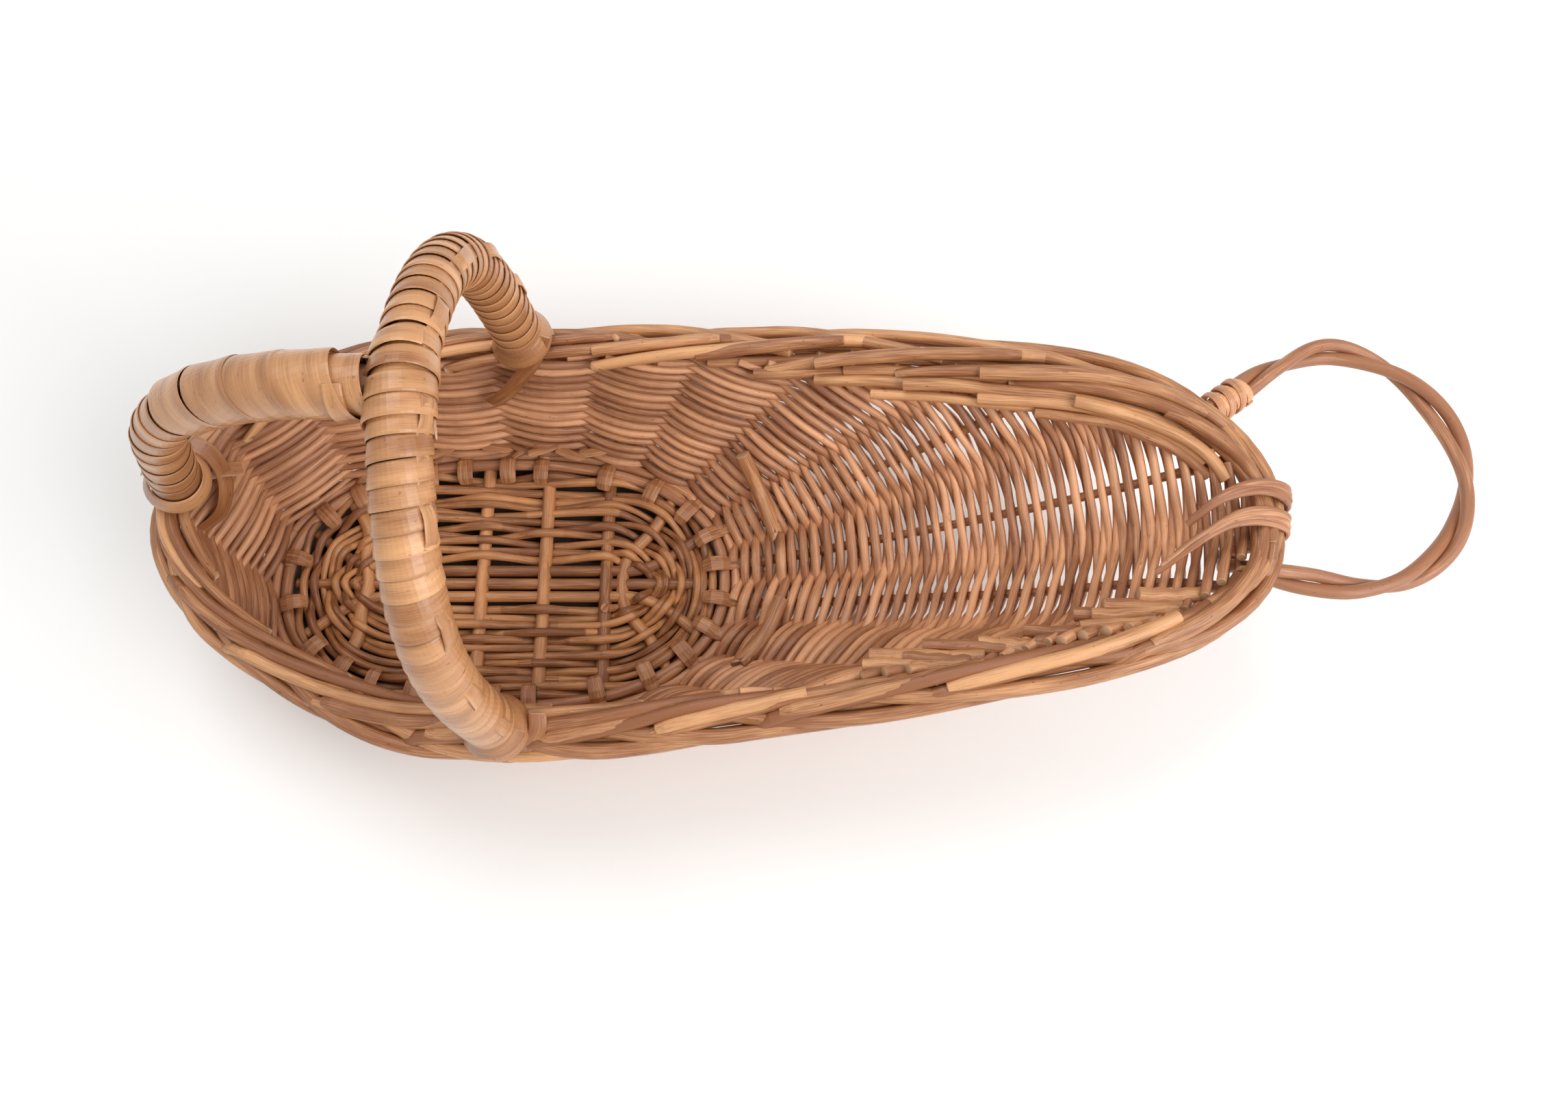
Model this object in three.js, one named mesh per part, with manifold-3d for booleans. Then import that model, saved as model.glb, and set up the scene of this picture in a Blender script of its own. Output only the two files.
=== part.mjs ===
// Wine bottle basket: an oval willow cradle with a long raised nose, a rolled border made of the
// stakes' own tops, a wrapped handle on three legs and a loop of two twisted rods at the nose.
// Millimetres, +Z up. The basket's long axis is X, with the nose at +X.
import * as THREE from "three";
import { mergeVertices } from "three/addons/utils/BufferGeometryUtils.js";
import Module from "manifold-3d";

const wasm = await Module();
wasm.setup();

// Fits
const clearance = 0.3; // left between any two pieces that touch

// Base: a woven oval mat on split cross sticks, with a hoop round it
const baseHalfLength = 86; // to the line of the stakes
const baseHalfWidth = 52.5;
const baseRoundness = 2.3; // 2 is an ellipse, more is squarer
const matHeight = 8.4;
const matEdge = 1.4; // rounding of the mat's rim
const hoopRadius = 2;
const longStickRadius = 2.2;
const longStickSpacing = 4.9;
const longStickFan = 11; // how far the outer long sticks spread at their ends
const crossStickRadius = 2.8;
const crossStickEye = 3.9; // half the height of the stick where it is split
const crossStickSpacing = 22.5;
const crossStickCount = 5;
const crossStickShift = -9; // the row of cross sticks sits a little towards the tail
const slotHalfWidth = 8.6; // the bare strip between the cross sticks
const stickEndCover = 2; // weave left past the end of a stick

// Stakes: one in each place round the base, and a mate beside some along the sides
const stakesPerSide = 10;
const stakeBaseGaps = [10.5, 25, 29.5, 30, 29.5, 25.5, 20.5, 17.5, 15.5, 15, 7.5]; // tail to nose
const stakeTopGaps = [15, 28, 30, 32, 33, 35.5, 37, 44.5, 60, 55, 20];
const pairedStakes = [2, 3, 4]; // counted from the tail
const mateShift = 0.17; // stake gaps from a stake to its mate, in the wall
const mateTongueShift = 0.45; // and on the base
const mateTop = 0.94; // where a mate ends, as a share of the wall
const stakeRadius = 2.2;
const stakeTipRadius = 1.2;
const tongueHalfWidth = 2.7; // the thinned butt that folds over the hoop
const tongueHalfThickness = 0.5;
const tongueReach = 6; // past the hoop, towards the middle
const stakeBend = 11; // length over which a stake bends up into the wall

// Side weave
const wallThickness = 9; // over a stake
const wallHollow = 5; // thickness between two stakes
const wallFoot = 4.8; // height of the wall's middle at its foot
const wallBelly = 0.06; // how far the wall swells, as a share of its slant height
const wallRows = [0.36, 0.68]; // shares of the slant height, between the foot and the top

// Border: the line that the stakes leave the wall on, from the tail to the nose, on one side
const borderTail = [-94.5, 0, 62];
const borderSide = [
  [-81, 28, 62],
  [-53, 48.3, 61.5],
  [-15.5, 60.8, 61.5],
  [32, 62, 62.5],
  [80, 58, 69],
  [125, 53.5, 76.5],
  [165, 47.5, 81.5],
  [200, 40.5, 84],
  [226, 30.5, 81.5],
  [242, 16.5, 78],
];
const borderNose = [247, 0, 76];
const tailSway = 6; // how far the tail leans over to the far side
const tailSwayFrom = 65; // length of the lean
const kinkUnder = [6, -5.6]; // where a stake leaves the wall, out and up from the border line
const kinkOuter = [10.4, -4.4]; // and where it is kinked over
const laneStart = 11; // how far out its stroke starts
const laneStep = 4.9; // drift inward for each stake that it passes
const laneCount = 3.3; // stakes that each one passes
const strokeStep = 10; // length of the straight steps that a stroke is made of
const laneCrown = 4.6; // height of the highest lane over the border line
const laneCrownAt = -3.7;
const laneFall = 0.0302; // how fast the roll falls away from its crown
const wallLean = 1.5; // the wall's middle, outward of the border line, at its top

// Handle: a bow across the basket and a strut back to the tail, both wrapped in flat skein
const bowX = 14.5; // place of the bow's feet
const bowTopX = 4.8;
const bowHalfSpan = 65.5;
const bowBase = 50; // height that the bow's curve springs from
const bowTop = 168;
const bowSpread = 1.36; // powers that square the arch
const bowRise = 0.43;
const strutRoute = [
  [-20, 2, 165.5],
  [-46, 5.5, 153],
  [-64, 8, 138],
  [-79, 10.5, 117],
  [-88, 12, 91],
];
const strutFoot = [-94.5, 13.5];
const strutStart = 1.5; // where the strut begins, behind the bow's middle
const handleCoreRadius = 5.5;
const skeinThickness = 1.2;
const wrapRadius = 8.3;
const wrapStep = 0.6; // how far each turn of the wrap stands over the next
const wrapPitch = 9;
const footSeat = 4.1; // the bow's feet end this far over the border line
const strutSeat = 6.4; // the strut's foot, which leans, ends higher
const teeBindingHalf = 13;
const collarHeight = 6;
const collarRise = 1.2;

// Ties of flat skein
const tieWidth = 6;
const tieCentre = [2.4, 0];
const tieHalfAcross = 12;
const tieHalfUp = 6.6;
const tieSlope = 0.25;
const footTieOffset = 9.5; // along the border from the middle of the foot
const noseTieSpacing = 11;
const noseTieRoute = [
  [-28, -11.5],
  [-24, -5],
  [-14, 3],
  [-4, 8.2],
  [5, 6.6],
  [12.5, 2.4],
  [14.8, -3],
  [9, -7.5],
  [-6, -13.5],
  [-22, -20],
  [-28, -18],
];

// Loop at the nose: two rods twisted round each other
const ringRodRadius = 2.1;
const ringTwistRadius = 2.3;
const ringTwists = 3;
const ringRoute = [ // from the tip of the nose
  [-28, 24, 0.5],
  [-15, 33, -4],
  [-1, 43, -7],
  [17, 56, -10],
  [39, 64, -13],
  [61, 56, -15],
  [75, 38, -16],
  [78, 18, -16],
  [70, -3, -15.5],
  [54, -16, -14.5],
  [37, -19.5, -13.5],
  [21, -18, -12],
  [6, -15.5, -10],
  [-5, -13.5, -7],
  [-16, -12, -5.5],
];
const lashingFrom = 0.1; // along the loop
const lashingTo = 0.155;
const lashingTurns = 4;

// Colours
const willowGold = { color: 0xc99a66, roughness: 0.5, metalness: 0 };
const willowBrown = { color: 0xa9764f, roughness: 0.6, metalness: 0 };
const willowDark = { color: 0x96623f, roughness: 0.65, metalness: 0 };
const skeinHoney = { color: 0xd3a06a, roughness: 0.35, metalness: 0 };

const up = new THREE.Vector3(0, 0, 1);
const vec = (p) => new THREE.Vector3(...p);
const clamp01 = (share) => Math.min(Math.max(share, 0), 1);

// Solids

function meshArrays(geometry) {
  const bare = geometry.clone();
  bare.deleteAttribute("normal");
  bare.deleteAttribute("uv");
  return mergeVertices(bare, 1e-4);
}

function solid(geometry) {
  const merged = meshArrays(geometry);
  return new wasm.Manifold(
    new wasm.Mesh({
      numProp: 3,
      vertProperties: new Float32Array(merged.attributes.position.array),
      triVerts: new Uint32Array(merged.index.array),
    }),
  );
}

function geometryOf(manifold) {
  const mesh = manifold.getMesh();
  const geometry = new THREE.BufferGeometry();
  geometry.setAttribute("position", new THREE.BufferAttribute(mesh.vertProperties, 3));
  geometry.setIndex(new THREE.BufferAttribute(mesh.triVerts, 1));
  geometry.computeVertexNormals();
  return geometry;
}

// A closed surface through a row of rings, with flat ends unless the row is a loop
function skin(rings, looped) {
  const count = rings[0].length;
  const at = (i, j) => (i % rings.length) * count + (j % count);
  const index = [];
  const spans = looped ? rings.length : rings.length - 1;
  for (let i = 0; i < spans; i++) {
    for (let j = 0; j < count; j++) {
      index.push(at(i, j), at(i, j + 1), at(i + 1, j + 1));
      index.push(at(i, j), at(i + 1, j + 1), at(i + 1, j));
    }
  }
  if (!looped) {
    const last = rings.length - 1;
    for (let j = 1; j < count - 1; j++) {
      index.push(at(0, 0), at(0, j + 1), at(0, j));
      index.push(at(last, 0), at(last, j), at(last, j + 1));
    }
  }
  const points = rings.flat();
  const volume = index.reduce((sum, _, n) => {
    if (n % 3) return sum;
    const [a, b, c] = [points[index[n]], points[index[n + 1]], points[index[n + 2]]];
    return sum + a.dot(new THREE.Vector3().crossVectors(b, c));
  }, 0);
  if (volume < 0) index.reverse();
  const geometry = new THREE.BufferGeometry();
  geometry.setFromPoints(points);
  geometry.setIndex(index);
  return geometry;
}

// Rings along a route. Each stop has its place and its two half sizes; reference keeps the
// section from turning, and is carried along the route unless it is fixed.
function ringsAlong(stops, sides, reference, looped = false, fixed = true) {
  let carried = reference.clone();
  return stops.map((stop, i) => {
    const n = stops.length;
    const before = stops[looped ? (i + n - 1) % n : Math.max(i - 1, 0)].place;
    const after = stops[looped ? (i + 1) % n : Math.min(i + 1, n - 1)].place;
    const along = after.clone().sub(before).normalize();
    const high = (fixed ? reference : carried).clone();
    high.addScaledVector(along, -high.dot(along)).normalize();
    carried = high;
    const side = new THREE.Vector3().crossVectors(high, along);
    return Array.from({ length: sides }, (_, j) => {
      const turn = (2 * Math.PI * (j + 0.5)) / sides;
      const point = stop.place.clone();
      point.addScaledVector(side, Math.cos(turn) * stop.across);
      point.addScaledVector(high, Math.sin(turn) * stop.through);
      return point;
    });
  });
}

function rod(stops, sides, reference, looped, fixed) {
  return skin(ringsAlong(stops, sides, reference, looped, fixed), looped);
}

const grown = (stops, by) =>
  stops.map((s) => ({ place: s.place, across: s.across + by, through: s.through + by }));
const roundStop = (place, radius) => ({ place, across: radius, through: radius });

function subtractAll(body, cutters) {
  return cutters.reduce((left, cutter) => left.subtract(cutter), body);
}

// Base line and border line

function oval(halfLength, halfWidth, points) {
  return Array.from({ length: points }, (_, i) => {
    const turn = Math.PI + (2 * Math.PI * i) / points;
    const [c, s] = [Math.cos(turn), Math.sin(turn)];
    const power = 2 / baseRoundness;
    return new THREE.Vector3(
      halfLength * Math.sign(c) * Math.abs(c) ** power,
      halfWidth * Math.sign(s) * Math.abs(s) ** power,
      0,
    );
  });
}

const ovalSteps = 64;
const baseLine = new THREE.CatmullRomCurve3(
  oval(baseHalfLength, baseHalfWidth, ovalSteps),
  true,
  "centripetal",
);
const mirrored = ([x, y, z]) => [x, -y, z];
const swayed = ([x, y, z]) => vec([x, y + tailSway * clamp01(-x / tailSwayFrom), z]);
const borderLine = new THREE.CatmullRomCurve3(
  [borderTail, ...borderSide.map(mirrored), borderNose, ...borderSide.toReversed()].map(swayed),
  true,
  "centripetal",
);
baseLine.arcLengthDivisions = 800;
borderLine.arcLengthDivisions = 800;

// Place k counts stakes from the tail, near side first.
const stakeCount = 2 * stakesPerSide;

function spreadOverStakes(valueAt) {
  const places = [];
  const values = [];
  for (let i = -4; i < stakeCount + 4; i++) {
    const wrapped = (i + stakeCount) % stakeCount;
    places.push(i);
    values.push(valueAt(wrapped) + Math.floor(i / stakeCount));
  }
  const curve = new THREE.CubicInterpolant(places, values, 1);
  return (k) => curve.evaluate(k)[0];
}

function fractionOfGaps(gaps) {
  const fromTail = (n) => gaps.slice(0, n + 1).reduce((sum, gap) => sum + gap, 0);
  const round = 2 * fromTail(stakesPerSide);
  return spreadOverStakes(
    (i) => (i < stakesPerSide ? fromTail(i) : round - fromTail(stakeCount - 1 - i)) / round,
  );
}

const topFraction = fractionOfGaps(stakeTopGaps);
const baseFraction = fractionOfGaps(stakeBaseGaps);
const wrap01 = (f) => ((f % 1) + 1) % 1;

// A section of the border at place k: its point and its outward and upward directions
function borderSection(k) {
  const f = wrap01(topFraction(k));
  const along = borderLine.getTangentAt(f);
  const outward = new THREE.Vector3().crossVectors(along, up).normalize();
  return {
    point: borderLine.getPointAt(f),
    outward,
    upward: new THREE.Vector3().crossVectors(outward, along),
  };
}

function onBorder(k, [out, high]) {
  const { point, outward, upward } = borderSection(k);
  return point.addScaledVector(outward, out).addScaledVector(upward, high);
}

const laneHeight = (out) => laneCrown - laneFall * (out - laneCrownAt) ** 2;
const lane = (passed) => {
  const out = laneStart - laneStep * passed;
  return [out, laneHeight(out)];
};

function baseSection(k) {
  const f = wrap01(baseFraction(k));
  const along = baseLine.getTangentAt(f);
  return {
    point: baseLine.getPointAt(f).setZ(wallFoot),
    outward: new THREE.Vector3().crossVectors(along, up).normalize(),
  };
}

// The wall

// The wall's straight steps and the strokes' differ a little, so this gap is doubled.
const underLanes = (out) => laneHeight(out) - (stakeRadius + 2 * clearance);
const wallTopIn = wallLean - wallThickness / 2;
const wallTopOut = wallLean + wallThickness / 2;
const wallTopHeight = (underLanes(wallTopIn) + underLanes(wallTopOut)) / 2;

function wallMiddle(k, rise) {
  const foot = baseSection(k).point;
  const top = onBorder(k, [wallLean, wallTopHeight]);
  const slant = top.clone().sub(foot);
  const along = baseSection(k).outward.clone().cross(up).negate();
  const swell = new THREE.Vector3().crossVectors(along, slant).setLength(1);
  const knee = foot.clone().addScaledVector(slant, 0.5);
  knee.addScaledVector(swell, wallBelly * slant.length());
  return new THREE.QuadraticBezierCurve3(foot, knee, top).getPoint(rise);
}

function wallNormal(k, rise) {
  const dk = 0.05;
  const dr = 0.02;
  const low = Math.max(rise - dr, 0);
  const alongWall = wallMiddle(k + dk, rise).sub(wallMiddle(k - dk, rise));
  const upWall = wallMiddle(k, low + dr).sub(wallMiddle(k, low));
  return alongWall.cross(upWall).normalize();
}

const wallColumnsPerStake = 2; // one on the stake and one halfway to the next

const slantAt = (k) => wallMiddle(k, 1).distanceTo(wallMiddle(k, 0));

function wallGeometry() {
  const rings = [];
  for (let c = 0; c < stakeCount * wallColumnsPerStake; c++) {
    const k = c / wallColumnsPerStake;
    const thickness = c % wallColumnsPerStake ? wallHollow : wallThickness;
    const inner = [];
    const outer = [];
    for (const rise of [0, wallThickness / slantAt(k), ...wallRows]) {
      const middle = wallMiddle(k, rise);
      // The foot is level and whole, so that it meets the hoop all the way round.
      const across = rise ? wallNormal(k, rise) : baseSection(k).outward;
      const half = across.multiplyScalar((rise ? thickness : wallThickness) / 2);
      inner.push(middle.clone().sub(half));
      outer.push(middle.clone().add(half));
    }
    inner.push(onBorder(k, [wallTopIn, underLanes(wallTopIn)]));
    outer.push(onBorder(k, [wallTopOut, underLanes(wallTopOut)]));
    rings.push([...outer, ...inner.reverse()]);
  }
  return skin(rings, true);
}

// Stakes

const rodSides = 5;
const stakeRises = [0.45, 0.86]; // where a stake turns in the wall
const tongueHeight = matHeight + clearance + tongueHalfThickness;
const hoopInset = wallThickness / 2 + clearance + hoopRadius;

// A rod's thinned butt on the base and its bend up into the wall
function buttStops(baseK, wallK) {
  const { point, outward } = baseSection(baseK);
  const tongueAt = (inset) => point.clone().setZ(tongueHeight).addScaledVector(outward, -inset);
  const bend = wallMiddle(wallK, stakeBend / slantAt(wallK));
  return [
    [tongueAt(hoopInset + tongueReach), tongueHalfWidth * 0.8, tongueHalfThickness],
    [tongueAt(hoopInset), tongueHalfWidth, tongueHalfThickness],
    [tongueAt(wallThickness * 0.4), stakeRadius, stakeRadius * 0.5],
    [bend, stakeRadius, stakeRadius],
  ].map(([place, across, through]) => ({ place, across, through }));
}

// A stake's butt, its run inside the wall and its kink over the border's outer edge
function uprightStops(i) {
  const run = stakeRises.map((rise) => roundStop(wallMiddle(i, rise), stakeRadius));
  const kink = [
    onBorder(i, kinkUnder),
    onBorder(i + 0.04, kinkOuter),
  ].map((place) => roundStop(place, stakeRadius));
  return [...buttStops(i, i), ...run, ...kink];
}

// A mate's butt and its run, which ends in the wall
function mateStops(i) {
  const tailwards = i < stakesPerSide ? -1 : 1;
  const k = i + tailwards * mateShift;
  const run = stakeRises.map((rise) => roundStop(wallMiddle(k, rise), stakeRadius));
  return [
    ...buttStops(i + tailwards * mateTongueShift, k),
    ...run,
    roundStop(wallMiddle(k, mateTop), stakeTipRadius),
  ];
}

// Its stroke over the border, drifting inwards to a cut tip
function strokeStops(i) {
  const length = borderLine.getLength() * (topFraction(i + laneCount) - topFraction(i));
  const steps = Math.round(length / strokeStep);
  return Array.from({ length: steps }, (_, n) => {
    const passed = (laneCount * (n + 1)) / steps;
    const radius = n < steps - 1 ? stakeRadius : stakeTipRadius;
    return roundStop(onBorder(i + passed, lane(passed)), radius);
  });
}

const stakeNumbers = Array.from({ length: stakeCount }, (_, i) => i);
const isPaired = (i) => pairedStakes.includes(Math.min(i, stakeCount - 1 - i));
// Each rod's stops, and how many of them the wall has to make room for
const stakeRods = stakeNumbers.flatMap((i) => {
  const upright = uprightStops(i);
  const stroke = strokeStops(i);
  const stake = { stops: [...upright, ...stroke], inWall: upright.length + 1 };
  const mate = mateStops(i);
  return isPaired(i) ? [{ stops: mate, inWall: mate.length }, stake] : [stake];
});
const carriedRod = (stops) => rod(stops, rodSides, up, false, false);
const stakes = stakeRods.map(({ stops }) => solid(carriedRod(stops)));
const stakeCutters = stakeRods.map(({ stops }) => solid(carriedRod(grown(stops, clearance))));
const uprightCutters = stakeRods.map(({ stops, inWall }) =>
  solid(carriedRod(grown(stops.slice(0, inWall), clearance))),
);

// Base

const matInset = hoopInset + hoopRadius + clearance;
const matPoints = 40; // points of the mat's outline and of the hoop
const stickHeight = matHeight / 2;
const crossSticksX = Array.from(
  { length: crossStickCount },
  (_, i) => crossStickShift + (i - (crossStickCount - 1) / 2) * crossStickSpacing,
);

function matHalfWidthAt(x) {
  const share = Math.min(Math.abs(x) / (baseHalfLength - matInset), 1);
  return (baseHalfWidth - matInset) * (1 - share ** baseRoundness) ** (1 / baseRoundness);
}

function longStickStops(row) {
  const y = row * longStickSpacing;
  const [first, last] = [crossSticksX[0], crossSticksX[crossStickCount - 1]];
  const reach = baseHalfLength - matInset - stickEndCover;
  const spread = y + row * longStickFan;
  const end = row ? reach * 0.93 : reach;
  const points = [
    [-end, spread],
    [(first - end) / 2 - 4, y + row * longStickFan * 0.35],
    [first, y],
    [last, y],
    [(last + end) / 2 + 4, y + row * longStickFan * 0.35],
    [end, spread],
  ];
  return points.map(([x, py]) => roundStop(vec([x, py, stickHeight]), longStickRadius));
}

function crossStickStops(x) {
  const end = matHalfWidthAt(x) - stickEndCover;
  const eye = slotHalfWidth + 1;
  const eyeFlat = 1.6 * longStickSpacing;
  return [-end, -eye - 5, -eyeFlat, eyeFlat, eye + 5, end].map((y) => ({
    place: vec([x, y, stickHeight]),
    across: crossStickRadius,
    through: Math.abs(y) <= eyeFlat ? crossStickEye : crossStickRadius,
  }));
}

const stickSides = 6;
const stick = (stops) => solid(rod(stops, stickSides, up, false));
const longRoutes = [-1, 0, 1].map(longStickStops);
const longSticks = longRoutes.map(stick);
const longCutters = longRoutes.map((stops) => stick(grown(stops, clearance)));
const crossRoutes = crossSticksX.map(crossStickStops);
const crossSticks = crossRoutes.map((stops) => subtractAll(stick(stops), longCutters));
const crossCutters = crossRoutes.map((stops) => stick(grown(stops, clearance)));

function baseMat() {
  const halfLength = baseHalfLength - matInset - matEdge;
  const halfWidth = baseHalfWidth - matInset - matEdge;
  const shape = new THREE.Shape(oval(halfLength, halfWidth, matPoints));
  const slot = new THREE.Path();
  const [first, last] = [crossSticksX[0], crossSticksX[crossStickCount - 1]];
  const slotHalf = slotHalfWidth + matEdge;
  slot.moveTo(first, -slotHalf);
  slot.lineTo(last, -slotHalf);
  slot.absarc(last, 0, slotHalf, -Math.PI / 2, Math.PI / 2);
  slot.lineTo(first, slotHalf);
  slot.absarc(first, 0, slotHalf, Math.PI / 2, (3 * Math.PI) / 2);
  shape.holes.push(slot);
  const geometry = new THREE.ExtrudeGeometry(shape, {
    depth: matHeight - 2 * matEdge,
    bevelThickness: matEdge,
    bevelSize: matEdge,
    bevelSegments: 1,
    curveSegments: 6,
  });
  geometry.translate(0, 0, matEdge);
  return subtractAll(solid(geometry), [...longCutters, ...crossCutters]);
}

function baseHoop() {
  const halfLength = baseHalfLength - hoopInset;
  const halfWidth = baseHalfWidth - hoopInset;
  const height = matHeight - hoopRadius - clearance;
  const line = oval(halfLength, halfWidth, matPoints).map((p) => p.setZ(height));
  return rod(line.map((p) => roundStop(p, hoopRadius)), rodSides, up, true);
}

// Handle

function bowPoint(turn) {
  const [c, s] = [Math.cos(turn), Math.sin(turn)];
  const lift = Math.abs(s) ** bowRise;
  return new THREE.Vector3(
    bowX + (bowTopX - bowX) * lift,
    -bowHalfSpan * Math.sign(c) * Math.abs(c) ** bowSpread,
    bowBase + (bowTop - bowBase) * lift,
  );
}

// The place on the border nearest to a point in plan
function borderPlace(x, y) {
  let best = 0;
  let least = Infinity;
  for (let k = 0; k < stakeCount; k += 0.02) {
    const { point } = borderSection(k);
    const gap = Math.hypot(point.x - x, point.y - y);
    if (gap < least) [best, least] = [k, gap];
  }
  return best;
}

const nearFootPlace = borderPlace(bowX, -bowHalfSpan);
const farFootPlace = borderPlace(bowX, bowHalfSpan);
const tailFootPlace = borderPlace(...strutFoot);
const seatOver = (k, seat) => borderSection(k).point.z + seat;

const bowStart = Math.asin(
  ((seatOver(nearFootPlace, footSeat) - bowBase) / (bowTop - bowBase)) ** (1 / bowRise),
);
const bowSteps = 40;
const bowTurn = (i) => bowStart + ((Math.PI - 2 * bowStart) * i) / bowSteps;
const bowLine = new THREE.CatmullRomCurve3(
  Array.from({ length: bowSteps + 1 }, (_, i) => bowPoint(bowTurn(i))),
  false,
  "centripetal",
);
const strutLine = new THREE.CatmullRomCurve3(
  [
    [bowTopX - strutStart, 0, bowTop],
    ...strutRoute,
    [...strutFoot, seatOver(tailFootPlace, strutSeat)],
  ].map(vec),
  false,
  "centripetal",
);
bowLine.arcLengthDivisions = 600;
strutLine.arcLengthDivisions = 400;
const sideways = new THREE.Vector3(0, 1, 0);
const forwards = new THREE.Vector3(1, 0, 0);
const handleSides = 8;

function stopsOn(line, from, to, count, radiusAt) {
  return Array.from({ length: count + 1 }, (_, i) => {
    const f = from + ((to - from) * i) / count;
    return roundStop(line.getPointAt(f), radiusAt(f));
  });
}

function core(line, steps, reference) {
  return solid(rod(stopsOn(line, 0, 1, steps, () => handleCoreRadius), handleSides, reference));
}

// A sleeve round a line: an outer skin with steps, and a bore
function sleeve(line, reference, outerStops, bore, from, to, boreSteps) {
  const outer = ringsAlong(outerStops, handleSides, reference);
  const inner = ringsAlong(
    stopsOn(line, from, to, boreSteps, () => bore),
    handleSides,
    reference,
  );
  return solid(skin([...outer, ...inner.reverse()], true));
}

// Turns of skein, each standing a little over the start of the next
function wrapAlong(line, reference, boreSteps) {
  const turns = Math.round(line.getLength() / wrapPitch);
  const stops = [];
  for (let n = 0; n < turns; n++) {
    stops.push(roundStop(line.getPointAt((n + 0.02) / turns), wrapRadius - wrapStep));
    stops.push(roundStop(line.getPointAt((n + 0.96) / turns), wrapRadius));
  }
  return sleeve(line, reference, stops, handleCoreRadius + clearance, 0.002, 0.998, boreSteps);
}

function plainSleeve(line, reference, radius, bore, from, to, steps) {
  const stops = stopsOn(line, from, to, steps, () => radius);
  return sleeve(line, reference, stops, bore, from, to, steps);
}

const bowCutter = solid(
  rod(stopsOn(bowLine, 0, 1, 48, () => wrapRadius + clearance), 16, forwards),
);
const strutCutter = solid(
  rod(stopsOn(strutLine, 0, 1, 16, () => wrapRadius + clearance), 12, sideways),
);
const bowPieces = [core(bowLine, 16, forwards), wrapAlong(bowLine, forwards, 16)];
const strutPieces = [core(strutLine, 9, sideways), wrapAlong(strutLine, sideways, 9)];
const [bowCore, bowWrap] = bowPieces.map((piece) => subtractAll(piece, stakeCutters));
const [strutCore, strutWrap] = strutPieces.map((piece) =>
  subtractAll(piece, [...stakeCutters, bowCutter]),
);

function teeBinding() {
  const half = teeBindingHalf / bowLine.getLength();
  const bore = wrapRadius + clearance;
  const body = plainSleeve(
    bowLine, forwards, bore + skeinThickness, bore, 0.5 - half, 0.5 + half, 4,
  );
  return body.subtract(strutCutter);
}

// Ties

const tieSteps = 14;
const noseTieSteps = 18;

function tieStops(k, extra) {
  const { point, outward, upward } = borderSection(k);
  return Array.from({ length: tieSteps }, (_, i) => {
    const turn = (2 * Math.PI * i) / tieSteps;
    const power = 2 / 2.6;
    const c = Math.cos(turn);
    const s = Math.sin(turn);
    const out = tieHalfAcross * Math.sign(c) * Math.abs(c) ** power;
    const high = tieHalfUp * Math.sign(s) * Math.abs(s) ** power - tieSlope * out;
    const place = point.clone().addScaledVector(outward, tieCentre[0] + out);
    place.addScaledVector(upward, tieCentre[1] + high);
    return { place, across: skeinThickness * 0.7 + extra, through: tieWidth * 0.7 + extra };
  });
}

function tieLoop(k, extra = 0) {
  const { outward, upward } = borderSection(k);
  const normal = new THREE.Vector3().crossVectors(outward, upward);
  return solid(rod(tieStops(k, extra), 4, normal, true));
}

function collar(line, reference, atEnd) {
  const length = line.getLength();
  const [low, high] = [collarRise / length, (collarRise + collarHeight) / length];
  const [from, to] = atEnd ? [1 - high, 1 - low] : [low, high];
  const bore = wrapRadius + clearance;
  return plainSleeve(line, reference, bore + skeinThickness, bore, from, to, 2);
}

const gapAt = (k) => borderSection(k).point.distanceTo(borderSection(k + 0.5).point) * 2;
const tiePlaces = [nearFootPlace, farFootPlace, tailFootPlace].map(
  (k) => k + footTieOffset / gapAt(k),
);
const footTies = [
  collar(bowLine, forwards, false),
  collar(bowLine, forwards, true),
  collar(strutLine, sideways, true),
].map((band, i) => {
  const loop = subtractAll(tieLoop(tiePlaces[i]), [bowCutter, strutCutter]);
  return subtractAll(band.add(loop), stakeCutters);
});

function noseTie(side, extra = 0) {
  const curve = new THREE.CatmullRomCurve3(
    noseTieRoute.map(([out, high]) =>
      vec([borderNose[0] + out, (side * noseTieSpacing) / 2, borderNose[2] + high]),
    ),
    true,
    "centripetal",
  );
  const stops = curve.getPoints(noseTieSteps).slice(0, -1).map((place) => ({
    place,
    across: skeinThickness * 0.7 + extra,
    through: tieWidth * 0.7 + extra,
  }));
  return solid(rod(stops, 4, sideways, true));
}

const noseTies = [-1, 1].map((side) => subtractAll(noseTie(side), stakeCutters));

// Loop at the nose

const ringLine = new THREE.CatmullRomCurve3(
  ringRoute.map((offset) => vec(borderNose).add(vec(offset))),
  false,
  "centripetal",
);
ringLine.arcLengthDivisions = 400;
const ringSteps = 32;

function ringRod(phase, extra = 0) {
  const stops = Array.from({ length: ringSteps + 1 }, (_, i) => {
    const f = i / ringSteps;
    const along = ringLine.getTangentAt(f);
    const side = new THREE.Vector3().crossVectors(along, up).normalize();
    const high = new THREE.Vector3().crossVectors(side, along);
    const turn = 2 * Math.PI * (ringTwists * f + phase);
    const place = ringLine.getPointAt(f);
    place.addScaledVector(side, ringTwistRadius * Math.cos(turn));
    place.addScaledVector(high, ringTwistRadius * Math.sin(turn));
    return roundStop(place, ringRodRadius + extra);
  });
  return solid(rod(stops, 6, up, false));
}

const ringRods = [0, 0.5].map((phase) => ringRod(phase));
const ringCutters = [0, 0.5].map((phase) => ringRod(phase, clearance));

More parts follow.
